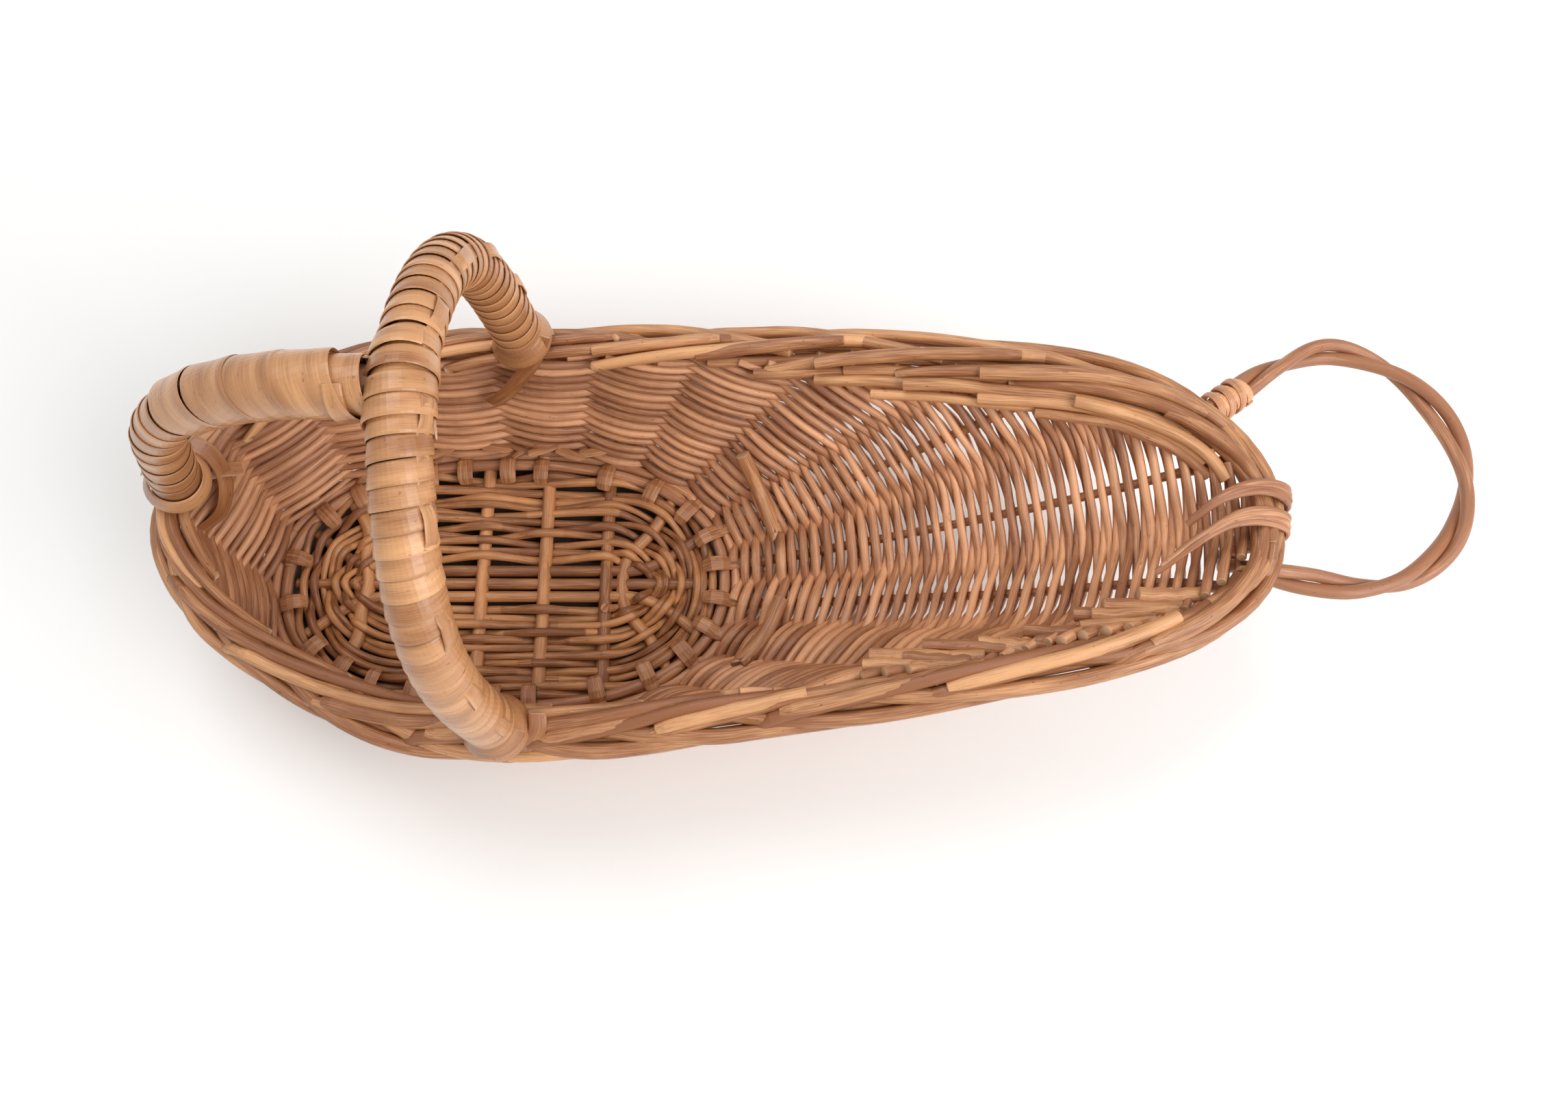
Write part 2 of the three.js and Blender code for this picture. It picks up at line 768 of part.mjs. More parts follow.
function ringLashing() {
  const bore = ringRodRadius + ringTwistRadius + clearance;
  const stops = [];
  for (let n = 0; n < lashingTurns; n++) {
    const at = (share) => lashingFrom + ((lashingTo - lashingFrom) * (n + share)) / lashingTurns;
    stops.push(roundStop(ringLine.getPointAt(at(0.05)), bore + skeinThickness * 0.5));
    stops.push(roundStop(ringLine.getPointAt(at(0.5)), bore + skeinThickness));
    stops.push(roundStop(ringLine.getPointAt(at(0.95)), bore + skeinThickness * 0.5));
  }
  return sleeve(ringLine, up, stops, bore, lashingFrom, lashingTo, 4);
}

// Side weave, cut for all that passes through it
function sideWeave() {
  const ties = [
    ...tiePlaces.map((k) => tieLoop(k, clearance)),
    ...[-1, 1].map((side) => noseTie(side, clearance)),
  ];
  return subtractAll(solid(wallGeometry()), [...uprightCutters, ...ties, ...ringCutters]);
}

// Assembly

const basket = new THREE.Group();

function place(name, body, look) {
  const geometry = body instanceof THREE.BufferGeometry ? body : geometryOf(body);
  const mesh = new THREE.Mesh(geometry, new THREE.MeshStandardMaterial(look));
  mesh.name = name;
  basket.add(mesh);
}

longSticks.forEach((body, i) => place(`base_long_stick_${i + 1}`, body, willowBrown));
crossSticks.forEach((body, i) => place(`base_cross_stick_${i + 1}`, body, willowBrown));
place("base_weave", baseMat(), willowDark);
place("base_hoop", baseHoop(), willowBrown);
place("side_weave", sideWeave(), willowBrown);
stakes.forEach((body, i) => {
  place(`side_stake_${String(i + 1).padStart(2, "0")}`, body, willowGold);
});
place("handle_bow", bowCore, willowBrown);
place("handle_strut", strutCore, willowBrown);
place("handle_bow_wrap", bowWrap, skeinHoney);
place("handle_strut_wrap", strutWrap, skeinHoney);
place("handle_tee_binding", teeBinding(), skeinHoney);
["near", "far", "tail"].forEach((side, i) => {
  place(`handle_foot_tie_${side}`, footTies[i], skeinHoney);
});
["near", "far"].forEach((side, i) => place(`nose_tie_${side}`, noseTies[i], willowGold));
ringRods.forEach((body, i) => place(`ring_rod_${i + 1}`, body, willowDark));
place("ring_lashing", ringLashing(), willowBrown);

// The frame's origin is the bottom centre of the whole basket.
const box = new THREE.Box3().setFromObject(basket);
const centre = box.getCenter(new THREE.Vector3());
basket.position.set(-centre.x, -centre.y, -box.min.z);

export default basket;
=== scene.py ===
"""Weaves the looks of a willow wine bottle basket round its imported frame.

Every willow rod and every strip of skein is laid along a route that is worked out from the same
base line, wall and border line as the frame's solids.
"""

import math

import bmesh
import bpy
import numpy as np
from bpy.props import FloatProperty, FloatVectorProperty, IntProperty, PointerProperty
from mathutils import Matrix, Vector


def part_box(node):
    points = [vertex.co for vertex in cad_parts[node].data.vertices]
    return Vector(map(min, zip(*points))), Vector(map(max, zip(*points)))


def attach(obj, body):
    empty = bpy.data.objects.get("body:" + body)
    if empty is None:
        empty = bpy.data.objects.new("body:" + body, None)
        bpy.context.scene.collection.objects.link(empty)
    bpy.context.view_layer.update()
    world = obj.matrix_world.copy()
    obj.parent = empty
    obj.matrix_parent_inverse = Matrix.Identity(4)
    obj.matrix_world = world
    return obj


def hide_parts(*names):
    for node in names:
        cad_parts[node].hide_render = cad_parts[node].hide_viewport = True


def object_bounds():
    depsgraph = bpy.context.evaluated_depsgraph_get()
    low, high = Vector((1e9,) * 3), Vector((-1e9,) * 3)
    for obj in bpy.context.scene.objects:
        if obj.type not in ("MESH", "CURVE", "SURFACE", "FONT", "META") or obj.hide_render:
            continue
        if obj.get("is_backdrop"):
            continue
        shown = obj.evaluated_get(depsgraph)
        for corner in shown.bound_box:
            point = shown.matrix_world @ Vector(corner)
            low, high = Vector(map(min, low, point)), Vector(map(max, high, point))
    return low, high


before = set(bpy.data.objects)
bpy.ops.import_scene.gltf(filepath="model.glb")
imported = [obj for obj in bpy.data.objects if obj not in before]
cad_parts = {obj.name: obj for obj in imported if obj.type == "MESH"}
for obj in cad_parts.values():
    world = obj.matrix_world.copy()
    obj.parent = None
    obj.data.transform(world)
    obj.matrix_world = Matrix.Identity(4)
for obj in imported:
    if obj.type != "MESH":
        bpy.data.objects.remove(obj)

bl_info = {
    "name": "Wine bottle basket",
    "version": (1, 0, 0),
    "blender": (4, 5, 0),
    "location": "View3D > Sidebar > Basket",
    "description": "Weaves a willow wine bottle basket round its packed frame",
    "category": "Add Mesh",
}

CAD_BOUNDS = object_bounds()
MM = 0.001
UP = np.array([0.0, 0.0, 1.0])
FORWARDS, SIDEWAYS = np.array([1.0, 0, 0]), np.array([0, 1.0, 0])

# The frame's base line, wall and border line, in millimetres from the middle of the base
STAKES_PER_SIDE = 10
STAKES = 2 * STAKES_PER_SIDE
STAKE_BASE_GAPS = (10.5, 25, 29.5, 30, 29.5, 25.5, 20.5, 17.5, 15.5, 15, 7.5)
STAKE_TOP_GAPS = (15, 28, 30, 32, 33, 35.5, 37, 44.5, 60, 55, 20)
PAIRED_STAKES = (2, 3, 4)
MATE_SHIFT, MATE_TONGUE_SHIFT, MATE_TOP = 0.17, 0.45, 0.94
BASE_HALF = (86, 52.5)
BASE_ROUNDNESS = 2.3
MAT_HEIGHT = 8.4
HOOP_INSET = 6.8
HOOP_RADIUS = 2.0
WALL_FOOT = 4.8
WALL_BELLY = 0.06
WALL_LEAN = 1.5
WALL_TOP = 0.37
BORDER_TAIL = (-94.5, 0, 62)
BORDER_SIDE = (
    (-81, 28, 62), (-53, 48.3, 61.5), (-15.5, 60.8, 61.5), (32, 62, 62.5), (80, 58, 69),
    (125, 53.5, 76.5), (165, 47.5, 81.5), (200, 40.5, 84), (226, 30.5, 81.5), (242, 16.5, 78),
)
BORDER_NOSE = (247, 0, 76)
TAIL_SWAY, TAIL_SWAY_FROM = 6, 65
LANE_CROWN = (-3.7, 4.6)
LANE_FALL = 0.0302
CROSS_STICKS = (-54, -31.5, -9, 13.5, 36)
END_OF_SLOT = 36
BENT_ROD = ((61, -35, 0), (52, -20, 0), (44, -10.5, 0), (42, 0, 0), (44, 10.5, 0), (52, 20, 0), (61, 35, 0))
BENT_ROD_SHIFT = 8  # how much further out the middle of the tail end's bent rod lies
LONG_STICK_SPACING = 4.9
LONG_STICK_FAN = 14
SLOT_HALF = 8.6

low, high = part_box("base_weave")
BASE_MIDDLE = np.array([(low.x + high.x) / 2, (low.y + high.y) / 2, 0.0])

chance = np.random.default_rng(11)


# Lines and surfaces that the rods follow, in millimetres


def unit(v):
    return v / np.maximum(np.linalg.norm(v, axis=-1, keepdims=True), 1e-9)


class Route:
    """A smooth line through a few points, read by its share of the length."""

    def __init__(self, points, closed=False, steps=24):
        points = np.array(points, float)
        if closed:
            ends = np.concatenate([points[-1:], points, points[:2]])
        else:
            first, last = 2 * points[0] - points[1], 2 * points[-1] - points[-2]
            ends = np.concatenate([first[None], points, last[None]])
        t = np.linspace(0, 1, steps, endpoint=False)[:, None]
        rows = []
        for p0, p1, p2, p3 in zip(ends, ends[1:], ends[2:], ends[3:]):
            d0, d1, d2 = (np.linalg.norm(b - a) ** 0.5 for a, b in ((p0, p1), (p1, p2), (p2, p3)))
            leave = ((p1 - p0) / d0 - (p2 - p0) / (d0 + d1) + (p2 - p1) / d1) * d1
            reach = ((p2 - p1) / d1 - (p3 - p1) / (d1 + d2) + (p3 - p2) / d2) * d1
            bend = 3 * (p2 - p1) - 2 * leave - reach
            rows.append(p1 + t * (leave + t * (bend + t * (2 * (p1 - p2) + leave + reach))))
        rows.append(points[:1] if closed else points[-1:])
        self.points = np.concatenate(rows)
        steps = np.linalg.norm(np.diff(self.points, axis=0), axis=1)
        self.lengths = np.concatenate([[0], np.cumsum(steps)])
        self.length = self.lengths[-1]
        self.closed = closed

    def at(self, share):
        share = np.asarray(share, float)
        share = share % 1 if self.closed else np.clip(share, 0, 1)
        axes = [np.interp(share * self.length, self.lengths, axis) for axis in self.points.T]
        return np.stack(axes, -1)

    def along(self, share):
        share = np.asarray(share, float)
        before, after = share - 0.003, share + 0.003
        if not self.closed:
            before, after = np.clip(before, 0, 1), np.clip(after, 0, 1)
        return unit(self.at(after) - self.at(before))


def signed_power(value, power):
    return np.sign(value) * np.abs(value) ** power


def ramped(value, start, span):
    """Goes from 0 to 1 while a value goes on from its start over a span."""
    return np.clip((value - start) / span, 0, 1)


def oval(half_length, half_width, roundness, turn):
    c, s = np.cos(turn), np.sin(turn)
    power = 2 / roundness
    return np.stack([half_length * signed_power(c, power), half_width * signed_power(s, power), 0 * c], -1)


def mirrored(points):
    return [(x, -y, z) for x, y, z in points]


def swayed(points):
    """Moves the tail end of the border a little to the far side."""
    return [(x, y + TAIL_SWAY * min(max(-x / TAIL_SWAY_FROM, 0), 1), z) for x, y, z in points]


BASE_LINE = Route(
    oval(*BASE_HALF, BASE_ROUNDNESS, math.pi + 2 * math.pi * np.arange(64) / 64), closed=True
)
BORDER_LINE = Route(
    swayed([BORDER_TAIL, *mirrored(BORDER_SIDE), BORDER_NOSE, *BORDER_SIDE[::-1]]), closed=True
)


def spread_over_stakes(values):
    """A smooth share of a closed line at any place, from its values at the stakes."""
    values = np.array(values, float)

    def share(place):
        place = np.asarray(place, float)
        i = np.floor(place).astype(int)
        t = place - i
        p0, p1, p2, p3 = (values[j % STAKES] + j // STAKES for j in (i - 1, i, i + 1, i + 2))
        curve = 2 * p0 - 5 * p1 + 4 * p2 - p3 + t * (3 * (p1 - p2) + p3 - p0)
        return p1 + t * (p2 - p0 + t * curve) / 2

    return share


def share_of_gaps(gaps):
    from_tail = np.cumsum(gaps)
    half = from_tail[-1]
    near = from_tail[:-1] / (2 * half)
    return spread_over_stakes([*near, *(1 - near[::-1])])


top_share = share_of_gaps(STAKE_TOP_GAPS)
base_share = share_of_gaps(STAKE_BASE_GAPS)


def base_place(place):
    share = base_share(place)
    point = BASE_LINE.at(share)
    point[..., 2] = WALL_FOOT
    return point, unit(np.cross(BASE_LINE.along(share), UP))


def on_border(place, out, high):
    """A point of the border: out and high are measured across it from the border line."""
    share = top_share(place)
    along = BORDER_LINE.along(share)
    outward = unit(np.cross(along, UP))
    upward = np.cross(outward, along)
    out, high = np.asarray(out, float), np.asarray(high, float)
    return BORDER_LINE.at(share) + outward * out[..., None] + upward * high[..., None]


def lane_height(out):
    return LANE_CROWN[1] - LANE_FALL * (out - LANE_CROWN[0]) ** 2


def wall_middle(place, rise):
    place, rise = np.broadcast_arrays(np.asarray(place, float), np.asarray(rise, float))
    foot, outward = base_place(place)
    top = on_border(place, WALL_LEAN + 0 * place, WALL_TOP + 0 * place)
    slant = top - foot
    swell = unit(np.cross(np.cross(UP, outward), slant))
    knee = foot + slant / 2 + swell * WALL_BELLY * np.linalg.norm(slant, axis=-1, keepdims=True)
    r = rise[..., None]
    return foot * (1 - r) ** 2 + knee * 2 * r * (1 - r) + top * r**2


def on_wall(place, rise, out=0.0):
    """A point of the wall: out is measured outwards from the wall's middle."""
    place, rise = np.broadcast_arrays(np.asarray(place, float), np.asarray(rise, float))
    low = np.maximum(rise - 0.02, 0)
    round_wall = wall_middle(place + 0.05, rise) - wall_middle(place - 0.05, rise)
    up_wall = wall_middle(place, low + 0.02) - wall_middle(place, low)
    normal = unit(np.cross(round_wall, up_wall))
    return wall_middle(place, rise) + normal * np.asarray(out, float)[..., None]


def slant_length(place):
    return np.linalg.norm(wall_middle(place, 1.0) - wall_middle(place, 0.0), axis=-1)


# Rods and strips


FORMS = {}


def rod_form(rings, sides):
    """A closed bar along Z with a ring of corners at each whole height, made once for each count."""
    if (rings, sides) not in FORMS:
        bm = bmesh.new()
        bmesh.ops.create_circle(bm, cap_ends=True, segments=sides, radius=1)
        top = list(bm.faces)
        for _ in range(rings - 1):
            made = bmesh.ops.extrude_face_region(bm, geom=top)["geom"]
            top = [part for part in made if isinstance(part, bmesh.types.BMFace)]
            corners = [part for part in made if isinstance(part, bmesh.types.BMVert)]
            bmesh.ops.translate(bm, verts=corners, vec=(0, 0, 1))
        bmesh.ops.recalc_face_normals(bm, faces=bm.faces)
        mesh = bpy.data.meshes.new("rod_form")
        bm.to_mesh(mesh)
        bm.free()
        corners = np.empty(len(mesh.vertices) * 3)
        mesh.vertices.foreach_get("co", corners)
        FORMS[rings, sides] = mesh, corners.reshape(-1, 3)
    return FORMS[rings, sides]


def rows_at(rows, ring):
    counts = np.arange(len(rows))
    return np.stack([np.interp(ring, counts, column) for column in rows.T], -1)


def carried(high, along):
    """Turns one direction along a route without twist."""
    rows = []
    for step in along:
        high = unit(high - step * np.dot(high, step))
        rows.append(high)
    return np.array(rows)


class Bundle:
    """Rods and strips that are gathered into one object."""

    def __init__(self):
        self.bm = bmesh.new()
        self.corners, self.grain, self.tone, self.cut = [], [], [], []

    def add(self, route, across, through=None, high=UP, sides=10, square=1.0, cut=0.0, tone=None):
        """Lays one rod along a route in millimetres. A square under 1 flattens its section."""
        route = np.asarray(route, float)
        count = len(route)
        across = np.broadcast_to(np.asarray(across, float), count)
        through = across if through is None else np.broadcast_to(np.asarray(through, float), count)
        along = unit(np.gradient(route, axis=0))
        high = np.broadcast_to(high, (count, 3))
        if np.allclose(high, high[0]):
            high = carried(high[0], along)
        # A ring close to each end keeps the cut face crisp, and its edge is a little rounded.
        ends = route[[0, -1]] + along[[0, -1]] * np.array([[0.25], [-0.25]])
        pick = [0, 0, *range(1, count - 1), count - 1, count - 1]
        route, along, high = route[pick], along[pick], high[pick]
        across, through = across[pick].copy(), through[pick].copy()
        route[1], route[-2] = ends
        across[[0, -1]] *= 0.88
        through[[0, -1]] *= 0.88
        far = np.concatenate([[0], np.cumsum(np.linalg.norm(np.diff(route, axis=0), axis=1))])
        if tone is None:
            tone = chance.uniform(0, 1)
        tone = np.broadcast_to(np.asarray(tone, float), count)[pick]
        high = unit(high - along * np.sum(high * along, axis=1, keepdims=True))
        side = np.cross(high, along)
        mesh, form = rod_form(len(route), sides)
        ring = form[:, 2].copy()
        x, y = signed_power(form[:, 0], square), signed_power(form[:, 1], square)
        cap = (ring == 0) | (ring == len(route) - 1)
        if cut:
            # The end is cut on a slant: its ring leans back along the rod.
            spacing = np.mean(np.diff(far[1:-1]))
            lean = cut / spacing * (1 + x) / 2
            last = ring >= len(route) - 2
            ring[last] = np.maximum(ring[last] - lean[last], 0)
        values = rows_at(np.column_stack([route, side, high, across, through, far, tone]), ring)
        place, side, high = values[:, :3], values[:, 3:6], values[:, 6:9]
        reach_x, reach_y = x * values[:, 9], y * values[:, 10]
        self.bm.from_mesh(mesh)
        self.corners.append(place + side * reach_x[:, None] + high * reach_y[:, None])
        start = chance.uniform(0, 900)
        self.grain.append(np.column_stack([reach_x, reach_y, values[:, 11] + start]))
        self.tone.append(values[:, 12])
        self.cut.append(cap.astype(float))

    def finish(self, name, material, nodes):
        """Makes the object, in metres in the frame's place, and puts it on the basket."""
        mesh = bpy.data.meshes.new(name)
        self.bm.to_mesh(mesh)
        self.bm.free()
        corners = np.concatenate(self.corners) * MM + BASE_MIDDLE
        mesh.vertices.foreach_set("co", corners.ravel())
        for label, kind, key, rows in (
            ("grain", "FLOAT_VECTOR", "vector", np.concatenate(self.grain)),
            ("tone", "FLOAT", "value", np.concatenate(self.tone)),
            ("cut", "FLOAT", "value", np.concatenate(self.cut)),
        ):
            mesh.attributes.new(label, kind, "POINT").data.foreach_set(key, rows.ravel())
        mesh.shade_smooth()
        mesh.set_sharp_from_angle(angle=math.radians(52))
        mesh.materials.append(material)
        mesh.update()
        piece = bpy.data.objects.new(name, mesh)
        bpy.context.scene.collection.objects.link(piece)
        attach(piece, "root")
        if nodes:
            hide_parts(*nodes)
        return piece


def natural(route, wander):
    """Lets a rod wander a little off its route, as a grown rod does."""
    count = len(route)
    t = np.linspace(0, 1, count)
    drift = np.zeros((count, 3))
    for waves in (1.3, 2.7):
        phase = chance.uniform(0, 2 * math.pi, 3)
        drift += np.sin(2 * math.pi * waves * t[:, None] + phase) * chance.uniform(0.3, 1, 3)
    return route + drift * wander * 0.5


def stout(radius, count, spread):
    """A rod's radius along its length: each rod a little thicker or thinner than the next."""
    t = np.linspace(0, 1, count)
    own = 1 + chance.normal(0, spread)
    return radius * own * (1 + 0.03 * np.sin(2 * math.pi * (1.7 * t + chance.uniform(0, 1))))


# Finishes


def node(tree, kind, at, **values):
    made = tree.nodes.new(kind)
    made.location = at
    for name, value in values.items():
        if name in made.inputs:
            made.inputs[name].default_value = value
        else:
            setattr(made, name, value)
    return made


def join(tree, *pairs):
    for source, target in pairs:
        tree.links.new(source, target)


def scaled(tree, vector, scale, at):
    made = node(tree, "ShaderNodeMapping", at, vector_type="POINT")
    made.inputs["Scale"].default_value = scale
    join(tree, (vector, made.inputs["Vector"]))
    return made.outputs["Vector"]


def noise(tree, vector, at, detail):
    made = node(tree, "ShaderNodeTexNoise", at, Scale=1.0, Detail=detail, Roughness=0.5)
    join(tree, (vector, made.inputs["Vector"]))
    return made.outputs["Fac"]


def remap(tree, value, low, high, to_low, to_high, at):
    made = node(tree, "ShaderNodeMapRange", at)
    for name, number in zip(("From Min", "From Max", "To Min", "To Max"), (low, high, to_low, to_high)):
        made.inputs[name].default_value = number
    join(tree, (value, made.inputs["Value"]))
    return made.outputs["Result"]


def maths(tree, operation, a, b, at, clamp=False):
    made = node(tree, "ShaderNodeMath", at, operation=operation, use_clamp=clamp)
    join(tree, (a, made.inputs[0]), (b, made.inputs[1]))
    return made.outputs[0]


def mixed(tree, kind, factor, a, b, at):
    made = tree.nodes.new("ShaderNodeMix")
    made.data_type = "RGBA"
    made.blend_type = kind
    made.location = at
    for socket, value in ((made.inputs[0], factor), (made.inputs[6], a), (made.inputs[7], b)):
        if isinstance(value, bpy.types.NodeSocket):
            join(tree, (value, socket))
        else:
            socket.default_value = value
    return made.outputs[2]


def willow_grain():
    """Colour, roughness and height of peeled willow, from coordinates that run with the rod."""
    name = "Willow grain"
    if name in bpy.data.node_groups:
        return bpy.data.node_groups[name]
    tree = bpy.data.node_groups.new(name, "ShaderNodeTree")
    for label, kind, default in (
        ("Grain", "NodeSocketVector", (0, 0, 0)),
        ("Tone", "NodeSocketFloat", 0.5),
        ("Cut", "NodeSocketFloat", 0.0),
        ("Pale", "NodeSocketColor", (0.6, 0.33, 0.16, 1)),
        ("Deep", "NodeSocketColor", (0.3, 0.13, 0.06, 1)),
        ("Pith", "NodeSocketColor", (0.5, 0.32, 0.17, 1)),
        ("Contrast", "NodeSocketFloat", 0.5),
        ("Dullness", "NodeSocketFloat", 0.5),
    ):
        socket = tree.interface.new_socket(label, in_out="INPUT", socket_type=kind)
        socket.default_value = default
    for label, kind in (
        ("Color", "NodeSocketColor"), ("Roughness", "NodeSocketFloat"), ("Height", "NodeSocketFloat"),
    ):
        tree.interface.new_socket(label, in_out="OUTPUT", socket_type=kind)
    given = node(tree, "NodeGroupInput", (-1200, 0)).outputs
    streaks, fibres, clouds, specks = (
        noise(tree, scaled(tree, given["Grain"], stretch, (-1000, at)), (-800, at), detail)
        for stretch, at, detail in (
            ((3.2, 3.2, 0.09), 300, 3), ((9, 9, 0.35), 100, 2),
            ((0.25, 0.25, 0.045), -100, 2), ((1.1, 1.1, 0.5), -300, 1),
        )
    )
    # Each rod has its own tone, which drifts along it in clouds and is streaked by the grain.
    drift = remap(tree, clouds, 0.3, 0.7, -0.28, 0.28, (-600, -100))
    lines = remap(tree, streaks, 0.3, 0.7, -0.5, 0.5, (-600, 300))
    strength = maths(tree, "MULTIPLY", lines, given["Contrast"], (-400, 300))
    total = maths(tree, "ADD", given["Tone"], drift, (-400, 0))
    shade = maths(tree, "ADD", total, strength, (-200, 100), clamp=True)
    bark = mixed(tree, "MIX", shade, given["Deep"], given["Pale"], (0, 100))
    spots = remap(tree, specks, 0.7, 0.78, 0, 0.55, (-600, -300))
    flecked = mixed(tree, "MULTIPLY", spots, bark, (0.35, 0.22, 0.15, 1), (200, 100))
    rings = mixed(tree, "MULTIPLY", remap(tree, fibres, 0.4, 0.65, 0, 0.5, (0, -100)),
                  given["Pith"], (0.6, 0.45, 0.35, 1), (200, -100))
    coloured = mixed(tree, "MIX", given["Cut"], flecked, rings, (400, 0))
    sheen = remap(tree, streaks, 0.3, 0.7, -0.07, 0.1, (0, -300))
    rough = maths(tree, "ADD", sheen, given["Dullness"], (400, -300), clamp=True)
    height = maths(tree, "ADD", streaks, fibres, (400, -500))
    result = node(tree, "NodeGroupOutput", (700, 0)).inputs
    join(tree, (coloured, result["Color"]), (rough, result["Roughness"]), (height, result["Height"]))
    return tree


def willow_material(name, pale, deep, pith, contrast, dullness, bump, coat=0.0):
    if name in bpy.data.materials:
        return bpy.data.materials[name]
    material = bpy.data.materials.new(name)
    material.use_nodes = True
    tree = material.node_tree
    shader = tree.nodes["Principled BSDF"]
    shader.inputs["Coat Weight"].default_value = coat
    shader.inputs["Coat Roughness"].default_value = 0.3
    grain = node(tree, "ShaderNodeGroup", (-500, 200), node_tree=willow_grain())
    for at, (label, output, socket) in enumerate((
        ("grain", "Vector", "Grain"), ("tone", "Fac", "Tone"), ("cut", "Fac", "Cut"),
    )):
        attribute = node(tree, "ShaderNodeAttribute", (-750, 300 - 180 * at), attribute_name=label)
        join(tree, (attribute.outputs[output], grain.inputs[socket]))
    for label, value in (("Pale", pale), ("Deep", deep), ("Pith", pith)):
        grain.inputs[label].default_value = (*value, 1)
    grain.inputs["Contrast"].default_value = contrast
    grain.inputs["Dullness"].default_value = dullness
    relief = node(tree, "ShaderNodeBump", (-250, -200), Strength=0.6, Distance=bump)
    join(tree, (grain.outputs["Color"], shader.inputs["Base Color"]),
         (grain.outputs["Roughness"], shader.inputs["Roughness"]),
         (grain.outputs["Height"], relief.inputs["Height"]),
         (relief.outputs["Normal"], shader.inputs["Normal"]))
    return material


def finish_of(context, kind):
    colours = context.scene.basket_colours
    pith = tuple(colours.pith)
    if kind == "skein":
        return willow_material("Skein", tuple(colours.skein_pale), tuple(colours.skein_deep), pith,
                               0.3, 0.3, 0.0001, 0.4)
    pale, deep = {
        "gold": (colours.gold_pale, colours.gold_deep),
        "brown": (colours.brown_pale, colours.brown_deep),
        "dark": (colours.dark_pale, colours.dark_deep),
    }[kind]
    return willow_material("Willow " + kind, tuple(pale), tuple(deep), pith, 0.75, 0.42, 0.00014, 0.2)


# Sizes and colours that can be changed


def length(name, description, default):
    return FloatProperty(name=name, description=description, default=default, min=0.0001, unit="LENGTH")


def colour(name, description, default):
    return FloatVectorProperty(
        name=name, description=description, default=default, min=0, max=1, subtype="COLOR"
    )


class BaseSizes(bpy.types.PropertyGroup):
    """Sizes of the woven base."""

    rounds: IntProperty(name="Rounds", description="Rows of weave outside the slot", default=12, min=2)
    weaver_radius: length("Weaver radius", "Radius of the base's weavers", 0.00162)
    weaver_swing: length("Weaver swing", "How far a weaver goes over and under a stick", 0.0026)
    stick_radius: length("Stick radius", "Radius of the sticks", 0.0022)


class WallSizes(bpy.types.PropertyGroup):
    """Sizes of the side weave."""

    strand_pitch: length("Strand pitch", "Distance up the wall between strands on one side", 0.0045)
    strand_radius: length("Strand radius", "Radius of a strand low in the wall", 0.00172)
    strand_swing: length("Strand swing", "How far a strand goes in front of and behind a stake", 0.0031)


class BorderSizes(bpy.types.PropertyGroup):
    """Sizes of the rolled border."""

    outer_radius: length("Outer rod radius", "Radius of the rods along its outer edge", 0.0021)


class HandleSizes(bpy.types.PropertyGroup):
    """Sizes of the wrapped handle."""

    wrap_radius: length("Wrap radius", "Radius over the wrap", 0.0085)
    wrap_pitch: length("Wrap pitch", "Distance between turns of the wrap", 0.0055)
    strip_thickness: length("Strip thickness", "Thickness of the skein", 0.0007)


class LoopSizes(bpy.types.PropertyGroup):
    """Sizes of the loop at the nose."""

    rod_radius: length("Rod radius", "Radius of the two rods", 0.0022)
    twist_radius: length("Twist radius", "How far each rod lies from the loop's middle line", 0.0022)


class BasketColours(bpy.types.PropertyGroup):
    """Colours of the willow."""

    gold_pale: colour("Gold, pale", "Pale parts of the border rods", (0.74, 0.38, 0.17))
    gold_deep: colour("Gold, deep", "Deep parts of the border rods", (0.30, 0.11, 0.042))
    brown_pale: colour("Brown, pale", "Pale parts of the wall's rods", (0.82, 0.42, 0.215))
    brown_deep: colour("Brown, deep", "Deep parts of the wall's rods", (0.36, 0.145, 0.065))
    dark_pale: colour("Dark, pale", "Pale parts of the base's rods", (0.64, 0.295, 0.115))
    dark_deep: colour("Dark, deep", "Deep parts of the base's rods", (0.22, 0.078, 0.028))
    skein_pale: colour("Skein, pale", "Pale parts of the skein", (0.78, 0.41, 0.185))
    skein_deep: colour("Skein, deep", "Deep parts of the skein", (0.32, 0.12, 0.042))
    pith: colour("Pith", "Cut ends of the rods", (0.60, 0.38, 0.21))


# Pieces


def stick_routes():
    """The base's long sticks, fanned at both ends, its cross sticks and a bent rod near each end."""
    reach = BASE_HALF[0] - HOOP_INSET - HOOP_RADIUS - 1
    routes = []
    for row in (-1, 0, 1):
        y, fan = row * LONG_STICK_SPACING, row * LONG_STICK_FAN
        end = reach * (0.93 if row else 1)
        half = [(0, y, 0), (38, y, 0), (46, y, 0), (56, y + fan * 0.25, 0), (end, y + fan, 0)]
        routes.append([(-x, y, z) for x, y, z in half[:0:-1]] + half)
    # The tail end's bent rod stands for the first cross stick.
    routes.append([(-BENT_ROD_SHIFT - x, y, 0) if abs(y) < 15 else (-x, y, 0) for x, y, _ in BENT_ROD])
    for x in CROSS_STICKS[1:]:
        share = 1 - abs(x / (BASE_HALF[0] - 7)) ** BASE_ROUNDNESS
        half = (BASE_HALF[1] - 8) * share ** (1 / BASE_ROUNDNESS)
        routes.append([(x, -half, 0), (x, -half / 3, 0), (x, half / 3, 0), (x, half, 0)])
    routes.append(BENT_ROD)
    return [Route(np.array(points) + UP * MAT_HEIGHT / 2) for points in routes]


